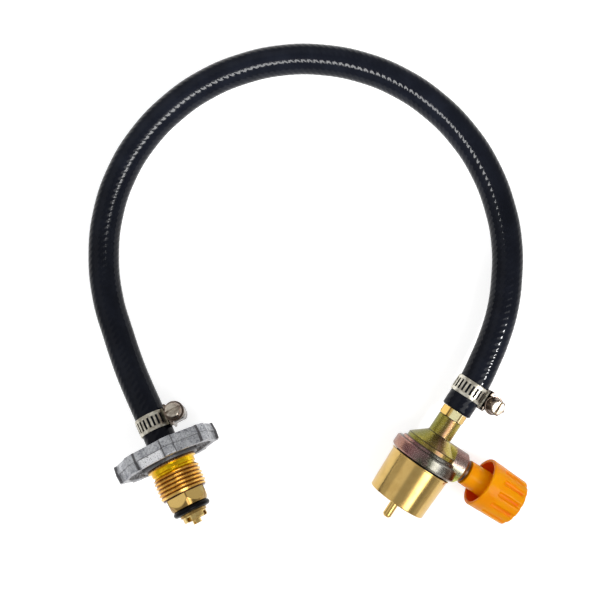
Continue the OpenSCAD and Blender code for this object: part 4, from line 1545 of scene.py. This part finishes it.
@dataclass
class CylinderConnector:
    """The union nut, the nose with its seal, and the flow guard."""

    place: Place
    lip_z: float = 4.7
    lip_t: float = 1.0
    lip_d: float = 23.4
    neck_d: float = 21.0
    neck_l: float = 3.5
    thread_d: float = 22.3
    thread_l: float = 11.0
    thread_pitch: float = 1.814
    thread_depth: float = 0.85
    drive_af: float = 19.0
    drive_turn: float = 10.0
    drive_z: float = -3.6
    stem_d: float = 11.0
    stem_z: float = -4.6
    nose_af: float = 17.6
    nose_turn: float = 47.0
    nose_l: float = 5.9
    nose_back_d: float = 22.6
    nose_front_d: float = 16.4
    groove_r: float = 6.05
    plug_r: float = 4.25
    plug_l: float = 5.0
    ring_d: float = 17.4
    ring_t: float = 2.6
    collar_d: float = 12.5
    collar_t: float = 1.3
    barb_l: float = 20.0

    def nose_z(self) -> float:
        """Returns the height of the nose's back face."""
        return self.lip_z + self.lip_t + self.neck_l + self.thread_l + 0.1

    def nut(self) -> Object:
        """Builds the left-hand union nut.

        Returns:
            The nut.
        """
        start = self.lip_z + self.lip_t
        thread = start + self.neck_l
        end = thread + self.thread_l
        bore, corner = self.stem_d / 2 + 0.05, self.drive_af / math.sqrt(3)
        crest, lip, neck = self.thread_d / 2, self.lip_d / 2, self.neck_d / 2
        outline = rounded([
            (bore, self.drive_z, 0.2), (corner, self.drive_z, 0.3), (corner, self.lip_z),
            (lip, self.lip_z, 0.2), (lip, start, 0.35), (neck, start + 0.35, 0.25),
            (neck, thread - 1.2, 0.2), (neck - 0.7, thread - 0.9, 0.2),
            (neck - 0.7, thread - 0.1, 0.2), (crest, thread + 0.9), (crest, end - 2.0),
            (crest - 1.0, end, 0.2), (bore, end, 0.2),
        ])
        drive = Flats(self.drive_af, high=self.lip_z - 0.01, start=self.drive_turn,
                      inside=bore + 0.5)
        turned = revolved(divided(held(outline), thread, end, 0.12), 240, drive)
        material = Brass.UNION.value.material(self.place)
        mesh = thread_cutter().run(turned, {
            "Crest": crest, "Depth": self.thread_depth, "Pitch": self.thread_pitch, "Hand": -1.0,
            "Low": thread - 0.2, "High": end + 0.4, "Material": material,
        })
        role = Role("union_nut", "pol_nut", "union_brass", "pol_union", 42.0)
        return role.fit(mesh, self.place, material)

    def nipple(self) -> Object:
        """Builds the nose, stem and barbed tail.

        Returns:
            The nipple.
        """
        back, stem, nose = self.stem_z, self.stem_d / 2, self.nose_z()
        groove = nose + self.nose_l
        collar = groove + self.ring_t + 0.1
        tip, rim = collar + self.collar_t, self.collar_d / 2
        outline = rounded([
            (BORE_R, back - self.barb_l, 0.2), (TAIL_R, back - self.barb_l, 0.3),
            *reversed(barbs(back - 1.5, -1)), (TAIL_R, back), (stem, back, 0.2), (stem, nose),
            (self.nose_back_d / 2, nose, 0.15), (self.nose_front_d / 2, groove, 0.3),
            (self.groove_r, groove), (self.groove_r, collar), (rim, collar, 0.2), (rim, tip, 0.3),
            (self.plug_r, tip, 0.15), (self.plug_r, tip - self.plug_l), (BORE_R, tip - self.plug_l),
        ])
        flats = Flats(self.nose_af, nose - 0.01, groove + 0.01, self.nose_turn, stem + 0.8, 0.12)
        mesh = revolved(divided(held(outline), nose, groove, 0.2), 360, flats)
        role = Role("nose_nipple", "pol_nipple", "nose_brass", sharp=24.0)
        return role.fit(mesh, self.place, Brass.NOSE.value.material(self.place))

    def seal(self) -> Object:
        """Builds the O-ring round the nose.

        Returns:
            The O-ring.
        """
        thick = self.ring_t / 2
        middle = (self.ring_d / 2 - thick, self.nose_z() + self.nose_l + thick + 0.05)
        turns = np.linspace(0, TURN, 28, endpoint=False)
        outline = np.stack([np.cos(turns), np.sin(turns)], 1) * thick + middle
        role = Role("nose_seal_ring", "nose_o_ring", "seal_rubber", sharp=60.0)
        return role.fit(revolved(outline, 144), self.place, SEAL.material(self.place))

    def build(self) -> list[Object]:
        """Builds the connector's pieces and dresses the flow guard.

        Returns:
            The nut, the nipple and the O-ring.
        """
        brass = Brass.PLUG.value.material(self.place)
        dress("flow_guard_cage", brass)
        dress("flow_guard_plunger", brass)
        dress("flow_guard_spring", Brass.WIRE.value.material(self.place))
        return [self.nut(), self.nipple(), self.seal()]


# ---------------------------------------------------------------- valve end


@dataclass
class NeedleValve:
    """The valve's body, hose tail, bottle cup, probe and the small pieces in them."""

    place: Place
    spindle_up: float = 4.5
    flange_d: float = 33.0
    flange_t: float = 5.8
    ring_d: float = 28.4
    ring_h: float = 1.5
    step_d: float = 25.4
    step_h: float = 2.2
    shoulder_h: float = 5.8
    neck_d: float = 11.7
    neck_h: float = 9.5
    boss_d: float = 15.8
    boss_reach: float = 18.2
    boss_bevel: float = 1.4
    seat_x: float = 4.6
    spindle_bore_r: float = 3.05
    gland_x: float = 13.2
    gland_bore_r: float = 4.85
    cup_bore_r: float = 13.2
    port_r: float = 3.25
    port_top: float = 1.1
    tail_bore_r: float = 4.25
    tail_bore_l: float = 8.0
    past_boss: float = 30.0
    past_cup: float = 40.0
    past_tail: float = 60.0
    tail_plug_r: float = 4.2
    tail_plug_l: float = 7.5
    barb_l: float = 20.0
    tail_af: float = 10.6
    tail_turn: float = 47.0
    tail_h: float = 4.3
    cup_d: float = 29.8
    cup_mouth_d: float = 28.4
    cup_l: float = 20.8
    cup_wall: float = 1.5
    cup_floor: float = 1.6
    lip_d: float = 30.6
    lip_t: float = 0.5
    gasket_t: float = 0.8
    probe_d: float = 4.2
    probe_out: float = 9.0
    probe_af: float = 8.0
    probe_bore_r: float = 1.0
    clamp_h: float = 2.5

    def neck_top(self) -> float:
        """Returns the height of the neck's end."""
        return self.flange_t / 2 + self.ring_h + self.step_h + self.shoulder_h + self.neck_h

    def cup_z(self) -> float:
        """Returns the height of the cup's back face."""
        return -self.flange_t / 2 - self.gasket_t

    def body(self) -> Object:
        """Builds the body: flange, shoulder, neck and spindle boss, with their bores.

        Returns:
            The body.
        """
        top, r, ring = self.flange_t / 2, self.flange_d / 2, self.ring_d / 2
        step_z, step, neck_r = top + self.ring_h, self.step_d / 2, self.neck_d / 2
        shoulder, end = step_z + self.step_h, self.neck_top()
        trunk = rounded([
            (0, -top), (r - 0.8, -top, 0.2), (r, 0.8 - top, 0.35), (r, top - 0.8, 0.35),
            (r - 0.8, top, 0.25), (ring, top, 0.15), (ring - 0.5, step_z, 0.3),
            (step, step_z, 0.15), (step, shoulder, 0.35),
            (neck_r, shoulder + self.shoulder_h, 0.9), (neck_r, end, 0.25), (0, end),
        ], closed=False)
        boss_r, reach = self.boss_d / 2, self.boss_reach
        boss = revolved(held(rounded([
            (0, 0.5), (boss_r, 0.5), (boss_r, reach - self.boss_bevel, 0.35),
            (boss_r - self.boss_bevel, reach, 0.25), (0, reach),
        ], closed=False)), 128, closed=False)
        across = Matrix.Translation((0, 0, self.spindle_up)) @ Matrix.Rotation(QUARTER, 4, "Y")
        boss.transform(across)
        chamber = rod((self.spindle_bore_r, self.seat_x, self.gland_x),
                      (self.gland_bore_r, self.gland_x, self.past_boss))
        port = rod((self.cup_bore_r, -self.past_cup, -top), (self.port_r, -top, self.port_top))
        socket = rod((self.tail_bore_r, end - self.tail_bore_l, self.past_tail))
        mesh = combined(
            revolved(held(trunk), 192, closed=False), ("UNION", boss),
            ("DIFFERENCE", drill(chamber, 64, across)), ("DIFFERENCE", drill(port, 96)),
            ("DIFFERENCE", drill(socket, 64)))
        role = Role("chromated_body", "valve_body", "chromated_steel", sharp=26.0)
        return role.fit(mesh, self.place, Chromate().material(self.place))

    def tail(self) -> Object:
        """Builds the hexagonal hose tail.

        Returns:
            The hose tail.
        """
        start, corner = self.neck_top(), self.tail_af / math.sqrt(3)
        end, plug = start + self.tail_h, start - self.tail_plug_l
        outline = rounded([
            (BORE_R, plug, 0.2), (self.tail_plug_r, plug, 0.2), (self.tail_plug_r, start + 0.05),
            (corner, start + 0.05), (corner, end), (TAIL_R, end), *barbs(end + 1.5, 1),
            (TAIL_R, end + self.barb_l, 0.2), (BORE_R, end + self.barb_l, 0.2),
        ])
        flats = Flats(self.tail_af, start, end + 0.01, self.tail_turn, 4.3, chamfer=0.45)
        mesh = revolved(divided(held(outline), start, end, 0.5), 240, flats)
        role = Role("hexagon_hose_tail", "hose_tail", "tail_brass", sharp=24.0)
        return role.fit(mesh, self.place, Brass.TAIL.value.material(self.place))

    def cup(self) -> Object:
        """Builds the tapered bottle cup with its thin lip.

        Returns:
            The cup.
        """
        back, rim, lip = self.cup_z(), self.cup_mouth_d / 2, self.lip_d / 2
        mouth, bore, under = back - self.cup_l, rim - self.cup_wall, back - self.lip_t
        floor = back - self.cup_floor
        outline = rounded([
            (self.port_r, floor), (self.port_r, back), (lip, back, 0.12), (lip, under, 0.15),
            (self.cup_d / 2, under - 0.05, 0.1), (rim, mouth + 0.1, 0.5), (rim - 0.7, mouth, 0.3),
            (bore + 0.4, mouth, 0.3), (bore, mouth + 0.6, 0.3), (bore, floor, 0.5),
        ])
        role = Role("turned_bottle_cup", "bottle_cup", "cup_brass", sharp=26.0)
        return role.fit(revolved(held(outline), 224), self.place,
                        Brass.CUP.value.material(self.place))

    def probe(self) -> Object:
        """Builds the probe and the hexagon that clamps the cup.

        Returns:
            The probe.
        """
        back = self.cup_z() - self.cup_floor - 0.05
        tip, end = self.cup_z() - self.cup_l - self.probe_out, self.port_top - 0.05
        r, stem, corner = self.probe_d / 2, self.port_r - 0.05, self.probe_af / math.sqrt(3)
        under, bore = back - self.clamp_h, self.probe_bore_r
        outline = rounded([
            (bore, tip, 0.1), (r - 0.75, tip, 0.2), (r, tip + 0.9, 0.5), (r, under),
            (corner, under, 0.3), (corner, back), (stem, back), (stem, end, 0.2), (bore, end),
        ])
        mesh = revolved(held(outline), 120, Flats(self.probe_af, inside=stem + 0.2))
        role = Role("needle_probe", "fill_probe", "cup_brass")
        return role.fit(mesh, self.place, Brass.CUP.value.material(self.place))

    def build(self) -> list[Object]:
        """Builds the valve's pieces and dresses the small ones.

        Returns:
            The body, the hose tail, the cup and the probe.
        """
        seal = SEAL.material(self.place)
        for node in ("cup_gasket", "bottle_seal", "spindle_o_ring"):
            dress(node, seal)
        spindle = self.place.moved(z=self.spindle_up).across()
        # The gland nut takes the brass darkened by painted shade.
        for node, metal in (("gland_nut", Brass.SHADED_GLAND), ("valve_spindle", Brass.TAIL),
                            ("knob_screw", Brass.SCREW)):
            dress(node, metal.value.material(spindle))
        return [self.body(), self.tail(), self.cup(), self.probe()]


@dataclass
class ValveKnob:
    """The moulded knob: a sleeve on the spindle inside a hollow, fluted skirt."""

    place: Place
    sleeve_x: float = 20.35
    sleeve_l: float = 8.4
    sleeve_d: float = 12.3
    skirt_l: float = 19.4
    skirt_d: float = 24.5
    end_d: float = 23.4
    end_t: float = 2.6
    wall: float = 1.7
    flutes: int = 12
    flute_w: float = 3.0
    flute_depth: float = 1.1
    flute_l: float = 12.0
    flute_turn: float = -4.0
    bore_d: float = 6.1
    pocket_d: float = 6.8
    pocket_h: float = 1.6
    screw_r: float = 1.7

    def build(self) -> list[Object]:
        """Builds the knob.

        Returns:
            The knob, alone in a list.
        """
        mouth = self.sleeve_x + self.sleeve_l
        end = mouth + self.skirt_l
        floor = end - self.end_t
        ro, re, rs = self.skirt_d / 2, self.end_d / 2, self.sleeve_d / 2
        bore, pocket, inner = self.bore_d / 2, self.pocket_d / 2, ro - self.wall
        outline = rounded([
            (bore, self.sleeve_x, 0.15), (rs, self.sleeve_x, 0.4), (rs + 0.3, floor, 0.8),
            (re - self.wall - 0.6, floor, 1.2), (inner, mouth + 0.5, 0.3),
            (inner + 0.35, mouth, 0.3), (ro - 0.3, mouth, 0.35), (ro, mouth + 0.6, 0.5),
            (re, end - 0.6, 0.5), (re - 0.6, end, 0.5), (pocket, end, 0.3),
            (pocket, end - self.pocket_h, 0.1), (self.screw_r, end - self.pocket_h),
            (self.screw_r, floor + 0.05), (bore, floor + 0.05),
        ])
        lean, half = (ro - re) / self.skirt_l, self.flute_w / 2

        def shape(turn: Array, radius: Array, height: Array) -> Array:
            """Sinks the flutes into the skirt's outside.

            Args:
                turn: angles in radians.
                radius: radii of the outline.
                height: heights.

            Returns:
                The radii.
            """
            pitch = TURN / self.flutes
            local = (turn - math.radians(self.flute_turn) + pitch / 2) % pitch - pitch / 2
            short = np.clip(end - self.flute_l - height, 0, None)
            reach = np.clip(half ** 2 - (radius * np.sin(local)) ** 2 - short ** 2, 0, None)
            sunk = re + half - self.flute_depth + lean * (end - height) - np.sqrt(reach)
            skin = (radius > re - 1.4) & (height > mouth + 1) & (reach > 0)
            return np.where(skin, soft_min(radius, sunk, 0.25), radius)

        mesh = revolved(divided(outline, mouth + 0.5, end, 0.35), 360, shape)
        role = Role("fluted_knob", "knob", "knob_plastic", "valve_knob", 32.0)
        return [role.fit(mesh, self.place, KnobPlastic().material(self.place))]


# ---------------------------------------------------------------- studio


Point = tuple[float, float, float]
WHITE: Colour = (1.0, 1.0, 1.0)


@dataclass
class Studio:
    """The camera straight above, a white floor, and the lights."""

    centre: tuple[float, float] = (-0.0524, 0.0488)
    roll: float = 33.5
    height: float = 0.4
    lens: float = 48.78
    sensor: float = 36.0
    floor_size: float = 3.0
    floor_tone: Colour = (0.62, 0.62, 0.62)
    floor_glow: float = 0.72

    def spot(self, x: float, y: float, z: float) -> Vector:
        """Returns a point in the row's frame from the picture's right, up and height, in metres."""
        turn = Matrix.Rotation(math.radians(self.roll), 3, "Z")
        return turn @ Vector((x, y, z)) + Vector((*self.centre, 0))

    def camera(self) -> None:
        """Adds the camera, looking straight down."""
        data = bpy.data.cameras.new("camera")
        data.lens = self.lens
        data.sensor_width = self.sensor
        data.clip_start = 0.01
        made = new_object("camera", data)
        made.location = self.spot(0, 0, self.height)
        made.rotation_euler = (0, 0, math.radians(self.roll))
        bpy.context.scene.camera = made

    def lamp(self, name: str, at: Point, size: float, power: float, aim: Point,
             cone: float) -> None:
        """Adds a small spot lamp that the camera does not see.

        Args:
            name: its name.
            at: its place in the picture's frame, in metres.
            size: its width, in metres.
            power: its power in watts.
            aim: the point that it faces, in the picture's frame.
            cone: full angle of its beam, in degrees.
        """
        data = bpy.data.lights.new(name, "SPOT")
        data.spot_size = math.radians(cone)
        data.spot_blend = 0.2
        data.shadow_soft_size = size / 2
        data.energy = power
        made = new_object(name, data)
        made.visible_camera = False
        made.location = self.spot(*at)
        made.rotation_euler = (self.spot(*aim) - self.spot(*at)).to_track_quat("-Z", "Y").to_euler()

    def floor(self) -> None:
        """Adds the white floor, which keeps a faint shadow."""
        half = self.floor_size / 2
        corners = ((-half, -half), (half, -half), (half, half), (-half, half))
        mesh = bpy.data.meshes.new("floor")
        mesh.from_pydata([(*self.spot(x, y, -0.0002),) for x, y in corners], [], [(0, 1, 2, 3)])
        material = bpy.data.materials.new("white_floor")
        material.use_nodes = True
        graph = Graph(material.node_tree)
        seen, *others = (graph.value("ShaderNodeLightPath", key=f"Is {ray} Ray")
                         for ray in ("Camera", "Glossy", "Transmission"))
        for other in others:
            seen = seen.most(other)
        matte = graph.value("ShaderNodeBsdfDiffuse", None, {"Color": self.floor_tone})
        glow = graph.value("ShaderNodeEmission", None, {
            "Color": WHITE, "Strength": seen * self.floor_glow})
        both = graph.value("ShaderNodeAddShader", None, {0: matte, 1: glow})
        graph.node("ShaderNodeOutputMaterial", None, {0: both})
        new_object("floor", mesh, material)

    def world(self) -> None:
        """Sets the surroundings: white for the camera, with soft panels on a grey roof's sides."""
        world = bpy.data.worlds.new("studio")
        bpy.context.scene.world = world
        world.use_nodes = True
        graph = Graph(world.node_tree)
        step = graph.step
        x, y, up = graph.split(graph.value("ShaderNodeTexCoord", key="Generated"))
        ahead = x / graph.far(x, y).most(0.001)
        near, away = step(ahead, 0.84, 0.94), step(-1.0 * ahead, 0.15, 0.7)
        roof = 0.58 - 0.14 * step(up, 0.25, 0.75) + 0.38 * step(up, 0.992, 0.998)
        key = near * step(up, 0.66, 0.73) * step(up, 0.985, 0.965)
        gap = near * step(up, 0.26, 0.40) * step(up, 0.70, 0.65)
        fill = away * step(up, 0.40, 0.52) * step(up, 0.92, 0.86)
        tone = roof + 4.40 * key - 0.20 * gap + 0.44 * fill
        camera = graph.value("ShaderNodeLightPath", key="Is Camera Ray")
        ground = graph.value("ShaderNodeBackground", None, {
            "Color": WHITE, "Strength": tone + camera * (1.0 - tone)})
        graph.node("ShaderNodeOutputWorld", None, {0: ground})

    def build(self) -> None:
        """Builds the studio, with two lamps that draw the thin bright lines on the hose."""
        bpy.context.scene.view_settings.view_transform = "Standard"
        self.camera()
        self.floor()
        self.world()
        self.lamp("ring_lamp", (0.0, 0.040, 0.145), 0.048, 0.95, (0.0, 0.100, 0.014), 82.0)
        self.lamp("side_lamp", (0.430, -0.133, 0.400), 0.060, 9.5, (0.0915, -0.026, 0.022), 9.5)


# ---------------------------------------------------------------- whole object


@dataclass
class HoseSet:
    """The whole object, and where its clamps and spindle stand."""

    spindle_up: float = 4.5
    left_clamp_z: float = -15.25
    left_clamp_turn: float = 86.0
    right_clamp_z: float = 38.1
    right_clamp_turn: float = 10.0
    right_slot_turn: float = 90.0

    def build(self) -> list[Object]:
        """Builds every sub-assembly in order and returns their pieces."""
        connector, valve = connector_place(), valve_place(self.spindle_up)
        left = connector.moved(z=self.left_clamp_z).rolled(self.left_clamp_turn)
        right = valve.moved(z=self.right_clamp_z).rolled(self.right_clamp_turn).turned_over()
        knob = valve.moved(z=self.spindle_up).across()
        parts = (
            GasHose(), HoseClamp(Side.LEFT, left),
            HoseClamp(Side.RIGHT, right, slot_turn=self.right_slot_turn), HandWheel(connector),
            CylinderConnector(connector), NeedleValve(valve, self.spindle_up), ValveKnob(knob),
        )
        return [piece for part in parts for piece in part.build()]


def main() -> None:
    """Builds the studio and the object, and reports each piece."""
    logging.basicConfig(level=logging.INFO)
    Studio().build()
    for piece in HoseSet().build():
        LOG.info("%s: %d faces", piece.name, len(piece.data.polygons))


if __name__ == "__main__":
    main()
